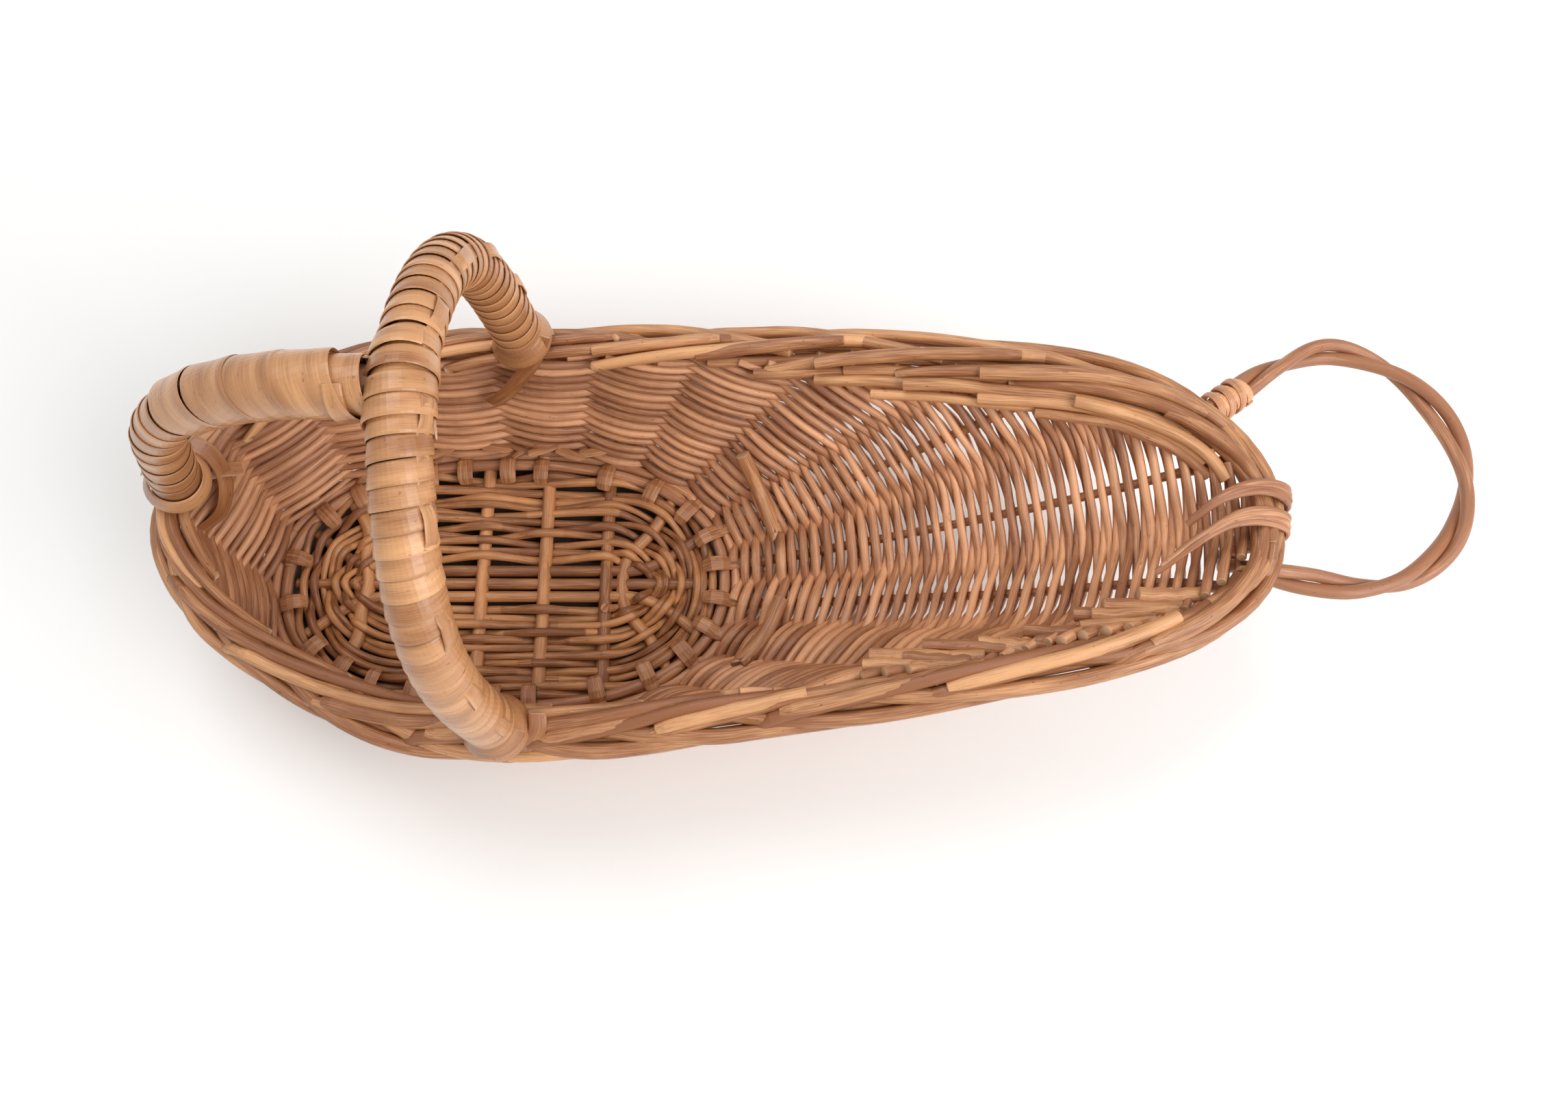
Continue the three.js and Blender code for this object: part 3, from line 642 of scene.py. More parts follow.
class BASKET_OT_base_sticks(bpy.types.Operator):
    """Lays the long sticks, the split cross sticks and the tail end's bent rod of the base"""

    bl_idname = "basket.base_sticks"
    bl_label = "Base sticks"

    def execute(self, context):
        sizes = context.scene.basket_base
        dark = finish_of(context, "dark")
        t = np.linspace(0, 1, 40)
        for number, route in enumerate(stick_routes()[:-1]):
            bundle = Bundle()
            line = route.at(t)
            radius = sizes.stick_radius / MM * np.ones(40)
            if number < 3:
                name = f"base_long_stick_{number + 1}"
                bundle.add(natural(line, 0.15), radius * 0.92, sides=14, cut=2)
            else:
                name = f"base_cross_stick_{number - 2}"
                # The stick is split, and bulges where the long sticks go through it.
                bulge = 1 + 0.55 * np.exp(-((line[:, 1] / 9) ** 4))
                bundle.add(natural(line, 0.1), radius * 1.08, radius * bulge, sides=14, cut=2)
            bundle.finish("stick_" + name[5:], dark, [name])
        return {"FINISHED"}


class BASKET_OT_base_weave(bpy.types.Operator):
    """Weaves the base, each round over and under the sticks and the fanned rays at both ends"""

    bl_idname = "basket.base_weave"
    bl_label = "Base weave"

    def execute(self, context):
        sizes = context.scene.basket_base
        bundle = Bundle()
        routes = stick_routes()
        sticks = [route.points for route in routes]
        bent = routes[-1].at(np.linspace(0, 1, 40))
        bundle.add(natural(bent, 0.2), sizes.stick_radius / MM, sides=14, cut=2, tone=0.7)
        radius, swing = sizes.weaver_radius / MM, sizes.weaver_swing / MM
        inner_width = SLOT_HALF + 0.8 * radius
        outer_width = BASE_HALF[1] - HOOP_INSET - HOOP_RADIUS - 1.6 * radius
        outer_length = BASE_HALF[0] - HOOP_INSET - HOOP_RADIUS - 1.6 * radius
        count = 640
        t = np.arange(count) / count
        for row in range(sizes.rounds):
            share = row / (sizes.rounds - 1)
            width = inner_width + (outer_width - inner_width) * share
            loop = round_of_base(width, outer_length, share)
            line, along = loop.at(t), loop.along(t)
            outward = unit(np.cross(along, UP))
            turns = stick_turns(line, sticks, t)
            # Each row goes over the sticks that the row before it goes under.
            over = (-1) ** row * np.cos(math.pi * turns)
            heights = MAT_HEIGHT / 2 + swing * signed_power(over, 1.3)
            aside = natural(line, 0.5) + outward * (0.35 * over)[:, None]
            points = aside + UP * heights[:, None]
            crowded = ramped(np.abs(line[:, 0]), END_OF_SLOT, 12)
            thick = radius * (0.86 + 0.16 * over**2) * (1 + chance.normal(0, 0.05)) * (1 - 0.12 * crowded)
            start = chance.integers(count)
            order = (np.arange(0, count + 12, 2) + start) % count
            bundle.add(points[order], thick[order], sides=10, tone=tone_walk(len(order), 34))
        bundle.finish("woven_base", finish_of(context, "dark"), ["base_weave"])
        return {"FINISHED"}


# How far the innermost round goes past the slot, how round its ends are, and what the outermost adds
INNER_REACH, INNER_ROUNDNESS, ROUNDNESS_GAIN = 18, 1.5, 0.75


def round_of_base(width, outer_length, share):
    """One round of the base: straight along the sides, and round the fan of sticks at both ends."""
    reach = INNER_REACH + (outer_length - END_OF_SLOT - INNER_REACH) * share
    roundness = INNER_ROUNDNESS + ROUNDNESS_GAIN * share
    corners = []
    for end, turn in ((END_OF_SLOT, -0.5), (-END_OF_SLOT, 0.5)):
        turns = math.pi * (turn + np.linspace(0, 1, 60))
        corners.append(oval(reach, width, roundness, turns) + np.array([end, 0, 0]))
    return Route(np.concatenate(corners), closed=True, steps=4)


def stick_turns(line, sticks, t):
    """How many sticks have been passed at each point of a round."""
    crossings = []
    for stick in sticks:
        gaps = np.linalg.norm(line[:, None, :2] - stick[None, ::3, :2], axis=2).min(1)
        near = (gaps < np.roll(gaps, 1)) & (gaps <= np.roll(gaps, -1)) & (gaps < 1.2)
        crossings.extend(t[near])
    crossings = np.sort(crossings)
    crossings = crossings[np.diff(crossings, prepend=crossings[-1] - 1) > 0.012]
    count = len(crossings)
    places = np.concatenate([crossings - 1, crossings, crossings + 1])
    return np.interp(t, places, np.arange(3 * count) - count)


def tone_walk(count, step):
    """A tone that changes every so often, as one weaver takes over from another."""
    knots = chance.uniform(0.1, 0.9, count // step + 2)
    return np.repeat(knots, step)[:count]


class BASKET_OT_base_hoop(bpy.types.Operator):
    """Lays the hoop round the base that the stakes fold over"""

    bl_idname = "basket.base_hoop"
    bl_label = "Base hoop"

    def execute(self, context):
        bundle = Bundle()
        turns = math.pi * np.linspace(0.93, 2.97, 130)
        line = oval(BASE_HALF[0] - HOOP_INSET, BASE_HALF[1] - HOOP_INSET, BASE_ROUNDNESS, turns)
        height = MAT_HEIGHT - HOOP_RADIUS - 0.3 + np.linspace(-0.4, 0.4, 130)
        bundle.add(natural(line + UP * height[:, None], 0.2), HOOP_RADIUS, sides=10, cut=3)
        bundle.finish("hoop", finish_of(context, "brown"), ["base_hoop"])
        return {"FINISHED"}


STEPS = 8  # points of a strand from one stake to the next
FOOT_DIP = 2.4  # how far below the wall's foot the strands start
RAMP_SLANT, RAMP_SPAN = 85, 55  # height of the wall where the ramp starts, and what it grows by
GAPS_LEVEL, GAPS_SPAN = 38, 40  # height on the ramp where its gaps start, and over which they widen
GAPS_AT, GAPS_SHARE = (8, 9, 10.3, 11.2, 12.5), (0.5, 1, 1, 0.45, 0.15)  # share of them by stake


def runs(mask):
    """First and last index of each stretch where the mask holds."""
    edges = np.flatnonzero(np.diff(np.concatenate([[0], mask.astype(int), [0]])))
    return edges.reshape(-1, 2)


def rods_of(first, last):
    """Splits a strand into rods, each of which ends outside the wall, behind a stake."""
    while last - first > 9 * STEPS:
        cut = (first // STEPS + 2 * chance.integers(2, 4)) // 2 * 2 * STEPS + STEPS
        yield first, cut + 2
        first = cut - 2
    yield first, last


class BASKET_OT_side_weave(bpy.types.Operator):
    """Weaves the wall: each strand rises slowly, in front of one stake and behind the next"""

    bl_idname = "basket.side_weave"
    bl_label = "Side weave"

    def execute(self, context):
        sizes = context.scene.basket_wall
        climb, radius, swing = sizes.strand_pitch / MM / 2, sizes.strand_radius / MM, sizes.strand_swing / MM
        around = np.arange(0, STAKES, 1 / STEPS)
        rim = slant_length(around)
        passed = np.arange(0, (rim.max() + FOOT_DIP) / climb, 1 / STEPS)
        bundle = Bundle()
        turns = 2 * math.pi * np.linspace(0, 1.03, 140)
        for inset, height in ((4.2, 2.0), (2.6, 5.0), (-0.4, 2.2)):
            # Rods that fill the corner between the hoop and the wall.
            line = oval(BASE_HALF[0] - inset, BASE_HALF[1] - inset, BASE_ROUNDNESS, turns + inset)
            line = line + UP * (height + np.linspace(-0.2, 0.2, 140)[:, None])
            bundle.add(natural(line, 0.2), 1.8, sides=8)
        for start in range(STAKES):
            room = np.interp((start + passed) % STAKES, around, rim, period=STAKES)
            level = climb * passed - FOOT_DIP
            for first, last in runs(level < room + 0.3 * radius):
                for begin, end in rods_of(first, last):
                    if end - begin > STEPS // 2:
                        self.lay(bundle, start, passed[begin:end], level[begin:end], radius, swing)
        bundle.finish("woven_wall", finish_of(context, "brown"), ["side_weave"])
        return {"FINISHED"}

    def lay(self, bundle, start, passed, level, radius, swing):
        """Lays one rod of a strand. Up the ramp the rods are thin, which leaves gaps beside the stakes."""
        place = start + passed
        slant = slant_length(place)
        ramp = ramped(slant, RAMP_SLANT, RAMP_SPAN)
        slim = ramped(level, GAPS_LEVEL, GAPS_SPAN) * ramp * np.interp(place % STAKES, GAPS_AT, GAPS_SHARE)
        over = -np.cos(math.pi * passed)
        out = signed_power(over, 0.85 + 1.0 * slim) * (swing - 0.3 * slim)
        drift = chance.normal(0, 0.12) + 0.15 * np.sin(0.9 * passed + chance.uniform(0, 6))
        line = on_wall(place, (level + drift + 0.5 * slim * over**3) / slant, out)
        taper = np.linspace(1.07, 0.9, len(passed)) * (1 + chance.normal(0, 0.08))
        thick = (radius - 0.17 * slim + 0.16 * ramp * (1 - slim)) * taper * (0.86 + 0.14 * over**2)
        bundle.add(line, thick, sides=8, tone=np.clip(chance.normal(0.5, 0.32), -0.2, 1.2))


def rod_size(stake):
    """A stake's radius where it is seen: stout along the near side, slim at the tail and far side."""
    for first, radius in ((14, 1.8), (STAKES_PER_SIDE, 2.15), (2, 2.35)):
        if stake >= first:
            return radius
    return 1.95


# The flat tongue's points: distance from the base's edge, height over the mat, and both half sizes
TONGUE = (
    (14.2, -1.2, 2.3, 0.4), (12.5, 0.9, 2.7, 0.45), (HOOP_INSET + 1.8, 1.2, 2.75, 0.5),
    (HOOP_INSET - 0.6, 0.6, 2.75, 0.55), (4.2, -1.8, 2.4, 0.9),
)


class StakeLine:
    """A rod's places and half sizes, from its flat tongue to its tip."""

    def __init__(self):
        self.places, self.across, self.through, self.tones = [], [], [], []
        self.tone = chance.uniform(0.05, 1)

    def put(self, points, wide, thick, tone=None):
        points = np.atleast_2d(points)
        self.places.extend(points)
        self.tones.extend([self.tone if tone is None else tone] * len(points))
        self.across.extend(np.broadcast_to(wide, len(points)))
        self.through.extend(np.broadcast_to(thick, len(points)))

    def put_butt(self, base_at, wall_at):
        foot, outward = base_place(float(base_at))
        for inset, height, wide, thick in TONGUE:
            self.put(foot * [1, 1, 0] + UP * (MAT_HEIGHT + height) - outward * inset, wide, thick, 0.3)
        self.put(on_wall(float(wall_at), 5 / slant_length(float(wall_at))), 1.9, 1.7)

    def lay(self, bundle):
        """Adds the rod to a bundle."""
        places = np.array(self.places)
        line = Route(places)
        t = np.linspace(0, 1, 76)
        nearest = [np.argmin(np.linalg.norm(line.points - p, axis=1)) for p in places]
        spots = [line.lengths[i] / line.length for i in nearest]
        own = 1 + chance.normal(0, 0.05)
        wide, thick, tone = (np.interp(t, spots, row) for row in (self.across, self.through, self.tones))
        bundle.add(natural(line.at(t), 0.4), wide * own, thick * own, sides=12, cut=5, tone=tone)


# How many stakes further a stroke ends, and how far inwards it goes on the way from one to the next
STROKES = {
    2: (3.2, 3.95), 3: (2.9, 3.95), 4: (2.5, 3.95), 5: (2.3, 3.95), 6: (2.2, 3.95), 7: (2.1, 3.95),
    8: (2.4, 4.2), 9: (2.35, 5.8), 10: (1.95, 7.0), 11: (1.9, 7.2), 12: (2.5, 5.4), 13: (3.0, 4.6),
}
USUAL_STROKE = (3.4, 3.95)
STROKE_START = 8.2  # how far outside the border line a stroke starts


def stake_line(stake):
    """A stake: tongue, upright in the wall, and stroke over the border."""
    rod, size = StakeLine(), rod_size(stake)
    # Painted shade: the rods of the near border are made the darkest, then those of the far side by the tail,
    # for the shade that falls on them.
    if 3 <= stake < 10:
        rod.tone -= 0.7
    elif stake > 15 or not stake:
        rod.tone -= 0.35
    rod.put_butt(stake, stake)
    slim = 1.55 if slant_length(float(stake)) > 90 else 1.9
    for rise in (0.35, 0.6, 0.86):
        rod.put(on_wall(float(stake), rise), slim, slim)
    rod.put(on_border(stake + 0.02, 5.2, -5.2), size, size)
    rod.put(on_border(stake + 0.09, STROKE_START, -3.0), size, size)
    reach, inwards = STROKES.get(stake, USUAL_STROKE)
    passed = np.linspace(0.25, reach, 12)
    # Over its last part the stroke turns down into the wall.
    dive = np.clip(passed - reach + 0.9, 0, 1) ** 1.4
    out = STROKE_START - inwards * (1 + chance.normal(0, 0.03)) * passed + 2.2 * dive
    high = lane_height(out) + chance.normal(0, 0.45) - 6.5 * dive
    thin = size * (1 - 0.12 * passed / passed[-1])
    rod.put(on_border(stake + passed, out, high), thin, thin)
    return rod


def mate_line(stake):
    """A mate: tongue and upright, beside its stake on the tail's side."""
    tailwards = -1 if stake < STAKES_PER_SIDE else 1
    at = stake + tailwards * MATE_SHIFT
    rod = StakeLine()
    rod.put_butt(stake + tailwards * MATE_TONGUE_SHIFT, at)
    for rise in (0.35, 0.6, MATE_TOP):
        rod.put(on_wall(float(at), rise), 1.7, 1.7)
    return rod


class BASKET_OT_stakes(bpy.types.Operator):
    """Lays each stake and each mate: flat tongue, upright, and the stake's stroke on the border"""

    bl_idname = "basket.stakes"
    bl_label = "Stakes"

    def execute(self, context):
        gold = finish_of(context, "gold")
        number = 0
        for stake in range(STAKES):
            paired = min(stake, STAKES - 1 - stake) in PAIRED_STAKES
            for rod in [mate_line(stake)] * paired + [stake_line(stake)]:
                number += 1
                bundle = Bundle()
                rod.lay(bundle)
                bundle.finish(f"rod_{number:02d}", gold, [f"side_stake_{number:02d}"])
        return {"FINISHED"}


# How many stakes further an outer rod ends, and how far out it bulges where that isn't the usual 6.9
OUTER_REACH = 2.6
OUTER_BULGES = {**dict.fromkeys(range(2, 8), 7.9), **dict.fromkeys(range(10, 14), 8.6)}
# Rods between the others: first and last place, and how far out
CLOSING_RODS = ((1.2, 9.6, 6.0), (9.2, 17.5, 6.2), (9.8, 15.5, 3.4))


class BASKET_OT_border_outer_rods(bpy.types.Operator):
    """Lays the thinner rods that come out under the border's strokes and run along its outer edge"""

    bl_idname = "basket.border_outer_rods"
    bl_label = "Outer border rods"

    def execute(self, context):
        radius = context.scene.basket_border.outer_radius / MM
        bundle = Bundle()
        for stake in range(STAKES):
            passed = np.linspace(0, OUTER_REACH, 26)
            swell, fall = ramped(passed, 0, 1.25), ramped(passed, 1.6, 1.0)
            out = 2.5 + OUTER_BULGES.get(stake, 6.9) * np.sin(swell * math.pi / 2) - 1.6 * fall
            high = 1.0 - 3.0 * swell**1.2 - 3.6 * fall
            line = on_border(stake - 0.3 + passed, out, high)
            own = radius * (1.2 if 2 <= stake < STAKES_PER_SIDE else 0.95) * (1 + chance.normal(0, 0.06))
            bundle.add(natural(line, 0.35), own * (1 - 0.35 * (passed / OUTER_REACH) ** 3), sides=10,
                       tone=chance.uniform(-0.2, 0.7))
        for first, last, out in CLOSING_RODS:
            # Rods that are seen in the gaps between the others.
            places = np.linspace(first, last, 160)
            line = on_border(places, out + 0.5 * np.sin(3 * places), -2.8 + 0 * places)
            bundle.add(natural(line, 0.6), 0.85 * radius, sides=10, tone=0.2)
        bundle.finish("border_outer_rods", finish_of(context, "gold"), [])
        return {"FINISHED"}


BOW_FEET_X, BOW_TOP_X = 14.5, 4.8
BOW_HALF_SPAN, BOW_BASE, BOW_TOP = 65.5, 50, 168
BOW_SPREAD, BOW_RISE = 1.36, 0.43
STRUT_ROUTE = ((-20, 2, 165.5), (-46, 5.5, 153), (-64, 8, 138), (-79, 10.5, 117), (-88, 12, 91))
STRUT_FOOT = (-94.5, 13.5, 68.0)


def bow_route():
    start = math.asin(((66.5 - BOW_BASE) / (BOW_TOP - BOW_BASE)) ** (1 / BOW_RISE))
    turn = np.linspace(start, math.pi - start, 41)
    lift = np.sin(turn) ** BOW_RISE
    c = np.cos(turn)
    return Route(np.column_stack([
        BOW_FEET_X + (BOW_TOP_X - BOW_FEET_X) * lift,
        -BOW_HALF_SPAN * signed_power(c, BOW_SPREAD),
        BOW_BASE + (BOW_TOP - BOW_BASE) * lift,
    ]))


def strut_route():
    return Route([(BOW_TOP_X - 1.5, 0, BOW_TOP), *STRUT_ROUTE, STRUT_FOOT])


def around(line, share, reference, turn):
    """A line's points and directions, and the way out from it at each turn."""
    middle, along = line.at(share), line.along(share)
    side = unit(np.cross(reference, along))
    top = np.cross(along, side)
    return middle, along, side * np.cos(turn)[:, None] + top * np.sin(turn)[:, None]


def wind(bundle, line, reference, start, end, radius, pitch, width, thick,
         lean=0.12, phase=0.0, spread=0.13, mean=0.48):
    """Winds a strip of skein round a line, each turn a little over the next."""
    turns = (end - start) * line.length / pitch
    count = int(turns * 36) + 1
    t = np.linspace(0, turns, count)
    share = start + (end - start) * t / turns
    wobble = 0.05 * np.sin(t * 0.9 + phase) + 0.04 * np.sin(t * 2.3)
    share = share + wobble * pitch / line.length
    middle, along, radial = around(line, share, reference, 2 * math.pi * t + phase)
    tones = np.clip(chance.normal(mean, spread, int(turns) + 3), 0, 1)
    turn_number = t + 0.25
    index = np.floor(turn_number).astype(int)
    blend = np.clip((turn_number - index) * 6, 0, 1)
    tone = tones[index] * (1 - blend) + tones[index + 1] * blend
    bundle.add(middle + radial * radius, width / 2, thick / 2, high=unit(radial + along * lean),
               sides=12, square=0.5, tone=tone)


def leader(bundle, line, reference, start, end, angle, radius, width, thick, over):
    """A strip that runs along a wrapped handle, over some turns and under the others."""
    share = np.linspace(start, end, 150)
    middle, _, radial = around(line, share, reference, np.full(150, angle))
    wave = np.clip(5 * np.sin(2 * math.pi * over * (share - start) / (end - start)) - 3, -1, 1)
    place = middle + radial * (radius + 0.7 * wave)[:, None]
    bundle.add(place, width / 2, thick / 2, high=radial, sides=12, square=0.5)


class BASKET_OT_handle_wraps(bpy.types.Operator):
    """Winds flat skein round the handle's bow and strut, with a strip woven along the bow"""

    bl_idname = "basket.handle_wraps"
    bl_label = "Handle wraps"

    def execute(self, context):
        sizes = context.scene.basket_handle
        radius, pitch, thick = sizes.wrap_radius / MM, sizes.wrap_pitch / MM, sizes.strip_thickness / MM
        skein = finish_of(context, "skein")
        bow, strut = bow_route(), strut_route()
        bundle = Bundle()
        wind(bundle, bow, FORWARDS, 0.0, 1.0, radius - thick, pitch, pitch * 1.14, thick)
        leader(bundle, bow, FORWARDS, 0.04, 0.96, math.radians(62), radius - 0.6 * thick, 4.6, thick, 9)
        bundle.finish("wrap_bow", skein, ["handle_bow_wrap"])
        bundle = Bundle()
        wind(bundle, strut, SIDEWAYS, 0.02, 1.0, radius - thick - 0.3, 9.0, 9.8, thick, 0.06, 1.0)
        leader(bundle, strut, SIDEWAYS, 0.55, 0.9, math.radians(100), radius - thick, 5, thick, 2)
        bundle.finish("wrap_strut", skein, ["handle_strut_wrap"])
        bundle = Bundle()
        wind(bundle, bow, FORWARDS, 0.462, 0.538, radius + 0.3, pitch, pitch * 1.1, thick, phase=2.0)
        wind(bundle, strut, SIDEWAYS, 0.07, 0.5, radius, 15.5, 16.4, 0.8 * thick, 0.01, 2.5, 0.06)
        wind(bundle, strut, SIDEWAYS, 0.064, 0.08, radius + 0.5, 4.0, 5.0, thick, -0.2, 2.0)
        bundle.finish("wrap_tee", skein, ["handle_tee_binding"])
        return {"FINISHED"}


RING_ROUTE = (
    (-28, 24, 0.5), (-15, 33, -4), (-1, 43, -7), (17, 56, -10), (39, 64, -13), (61, 56, -15),
    (75, 38, -16), (78, 18, -16), (70, -3, -15.5), (54, -16, -14.5), (37, -19.5, -13.5),
    (21, -18, -12), (6, -15.5, -10), (-5, -13.5, -7), (-16, -12, -5.5),
)
RING_TWISTS = 3


def ring_route():
    return Route(np.array(RING_ROUTE) + np.array(BORDER_NOSE))


class BASKET_OT_nose_loop(bpy.types.Operator):
    """Twists two rods into the loop at the nose and lashes it where it enters the border"""

    bl_idname = "basket.nose_loop"
    bl_label = "Nose loop"

    def execute(self, context):
        sizes = context.scene.basket_loop
        line = ring_route()
        count = 150
        t = np.linspace(0.035, 0.975, count)
        brown = finish_of(context, "brown")
        for number in (1, 2):
            bundle = Bundle()
            turn = 2 * math.pi * (RING_TWISTS * t + number * 0.5 - 0.5)
            middle, _, radial = around(line, t, -UP, -turn)
            place = middle + radial * (sizes.twist_radius / MM)
            bundle.add(natural(place, 0.5), stout(sizes.rod_radius / MM, count, 0.02), sides=14,
                       tone=0.15 * number - 0.3)
            bundle.finish(f"loop_rod_{number}", brown, [f"ring_rod_{number}"])
        bundle = Bundle()
        for way in (1, -1):
            lash(bundle, line, 0.1, 0.155, 4.9, 3, way)
        bundle.finish("loop_lashing", brown, ["ring_lashing"])
        return {"FINISHED"}


def lash(bundle, line, start, end, radius, turns, way):
    """Winds a flat strip round both rods of the loop, one way or the other."""
    t = np.linspace(0, turns, turns * 20 + 1)
    middle, _, radial = around(line, start + (end - start) * t / turns, -UP, -way * 2 * math.pi * t)
    bundle.add(middle + radial * (radius + 0.35 * way), 1.4, 0.55, high=radial, sides=10, square=0.7)


# Ribbons that bind each foot: the way that each one faces, and its points
NEAR_RIBBONS = (
    ((0.2, -0.5, 0.85), ((26, -62, 71), (25.5, -67, 68), (20, -71.5, 63), (12, -72, 58))),
    ((0.2, -0.5, 0.85), ((7, -66, 69), (9, -70.5, 66), (15, -73, 62), (23, -71.5, 58))),
)
FAR_RIBBONS = (
    ((0.1, -0.9, 0.5), ((21, 63.5, 75), (17, 58.5, 67), (10, 55.5, 57), (4, 54, 49), (-2, 54.5, 42))),
    ((0.3, 0.8, 0.5), ((7, 69, 70), (7, 73, 64), (12, 74, 58), (20, 72, 56))),
)
TAIL_RIBBONS = (
    ((0.39, -0.34, 0.86), ((-91, 24.5, 79), (-85, 23.5, 72), (-82.5, 18, 62), (-86, 10, 53), (-93, 4.5, 50))),
    ((0.3, 0.1, 0.95), ((-90, 18, 65), (-83, 20.5, 63.5), (-78, 22.5, 60))),
)


class BASKET_OT_foot_ties(bpy.types.Operator):
    """Ties each foot of the handle to the border with skein"""

    bl_idname = "basket.foot_ties"
    bl_label = "Foot ties"

    def execute(self, context):
        sizes = context.scene.basket_handle
        radius, thick = sizes.wrap_radius / MM, sizes.strip_thickness / MM
        skein = finish_of(context, "skein")
        bow, strut = bow_route(), strut_route()
        for side, line, reference, start, end, grow, lean, ribbons in (
            ("near", bow, FORWARDS, 0.004, 0.026, 0.6, 0.5, NEAR_RIBBONS),
            ("far", bow, FORWARDS, 0.974, 0.996, 0.6, -0.5, FAR_RIBBONS),
            ("tail", strut, SIDEWAYS, 0.94, 0.985, 0.8, -0.35, TAIL_RIBBONS),
        ):
            bundle = Bundle()
            wind(bundle, line, reference, start, end, radius + grow, 5.0, 6.2, thick, lean, mean=0.2)
            for facing, points in ribbons:
                route = Route(points).at(np.linspace(0, 1, 30))
                bundle.add(route, 2.7, thick / 2, high=unit(np.array(facing, float)), sides=12,
                           square=0.5, tone=0.1)
            bundle.finish("tie_foot_" + side, skein, ["handle_foot_tie_" + side])
        return {"FINISHED"}


# Middle lines of the two bands at the tip of the nose
NOSE_BANDS = {
    "near": ((216, -18, 76), (229.5, -9.5, 83.5), (239.5, -4, 84.5), (251, -2.5, 82.5), (259, -3, 75.5),
             (256, -4, 66), (244, -5, 60)),
    "far": ((226, -3.5, 79), (236, 3, 84.5), (246, 6.5, 84.5), (253.5, 7, 82), (260.5, 6, 75), (257, 5, 66),
            (244, 4, 60)),
}


class BASKET_OT_nose_ties(bpy.types.Operator):
    """Binds the tip of the nose with two bands of split rods, gathered at their inner ends"""

    bl_idname = "basket.nose_ties"
    bl_label = "Nose ties"

    def execute(self, context):
        brown = finish_of(context, "brown")
        for name, points in NOSE_BANDS.items():
            bundle = Bundle()
            spread = np.interp(np.linspace(0, 1, 40), [0, 0.3, 0.55, 1], [0.35, 0.9, 1.6, 1.7])
            for strand in range(4):
                line = Route(points).at(np.linspace(0.03 * strand, 1, 40))
                aside = (strand - 1.5) * spread
                line = line + np.array([0.15, 1, 0]) * aside[:, None]
                bundle.add(natural(line, 0.4), 1.15, 0.85, sides=10, cut=3, tone=chance.uniform(-0.2, 0.6))
            bundle.finish("tie_nose_" + name, brown, ["nose_tie_" + name])
        return {"FINISHED"}


# Where the rods inside the near border end, and how many stakes further they go under it
CUT_ENDS = (
    (124.6, -47.2, 72, 0.5), (127, -43.8, 71, 0.6), (136.7, -45.3, 74, 0.35), (139, -49, 76, 0.3),
    (143, -40.8, 72, 0.5), (154.7, -41.6, 74, 0.3), (160.2, -41, 75, 0.25), (166, -41.2, 76, 0.25),
    (174.1, -37, 75, 0.35), (177, -41.6, 78, 0.4), (189.7, -32.2, 76, 0.4), (190.4, -36.6, 78, 0.4),
    (194.2, -33.4, 79, 0.45), (198, -29.8, 78, 0.4), (208.5, -27, 79, 0.35),
)
# Rods between and inside the strokes of the far border by the nose: radius, then place, out and high
# from the border line at both ends
FAR_RODS = (
    (2.1, (11.9, -7.5, 0.5), (10.3, -3, -1)), (2.0, (11.5, -9.0, -1.0), (10.1, -4.5, -2)),
    (1.9, (12.5, -6.5, -1.5), (11.0, -4, -2.5)), (1.8, (11.2, -11, -3.5), (10.0, -6.5, -3.5)),
    (2.1, (11.0, -7.5, 1.5), (9.9, -3.5, 0)), (1.9, (12.3, -3, -0.5), (10.2, 0, -1.5)),
    (1.9, (11.7, 2.5, -1.5), (9.9, 4, -2.0)), (1.8, (13.0, -5, -1.0), (11.3, -1, -1.5)),
    (1.7, (12.1, -9.5, -4.0), (10.6, -8, -4.5)), (1.8, (13.4, -1, -0.5), (11.6, 3, -1.5)),
)
# Thick butts with slanting cuts at the foot of the ramp
BUTTS = (
    ((86, 38.5, 34), (92, 29, 22), (96, 19, 19.5), (98.5, 12, 18.5)),
    ((100, -10, 20), (95.5, -20, 18.5), (90.5, -28, 19), (84, -35.5, 21)),
)
# Torn tips of weavers along the far foot of the wall: place and direction in degrees
TORN_TIPS = ((-24, 49.5, 24), (-5, 50, -12), (12, 49.5, 14), (22, 47.5, -25), (31, 48.5, 5))


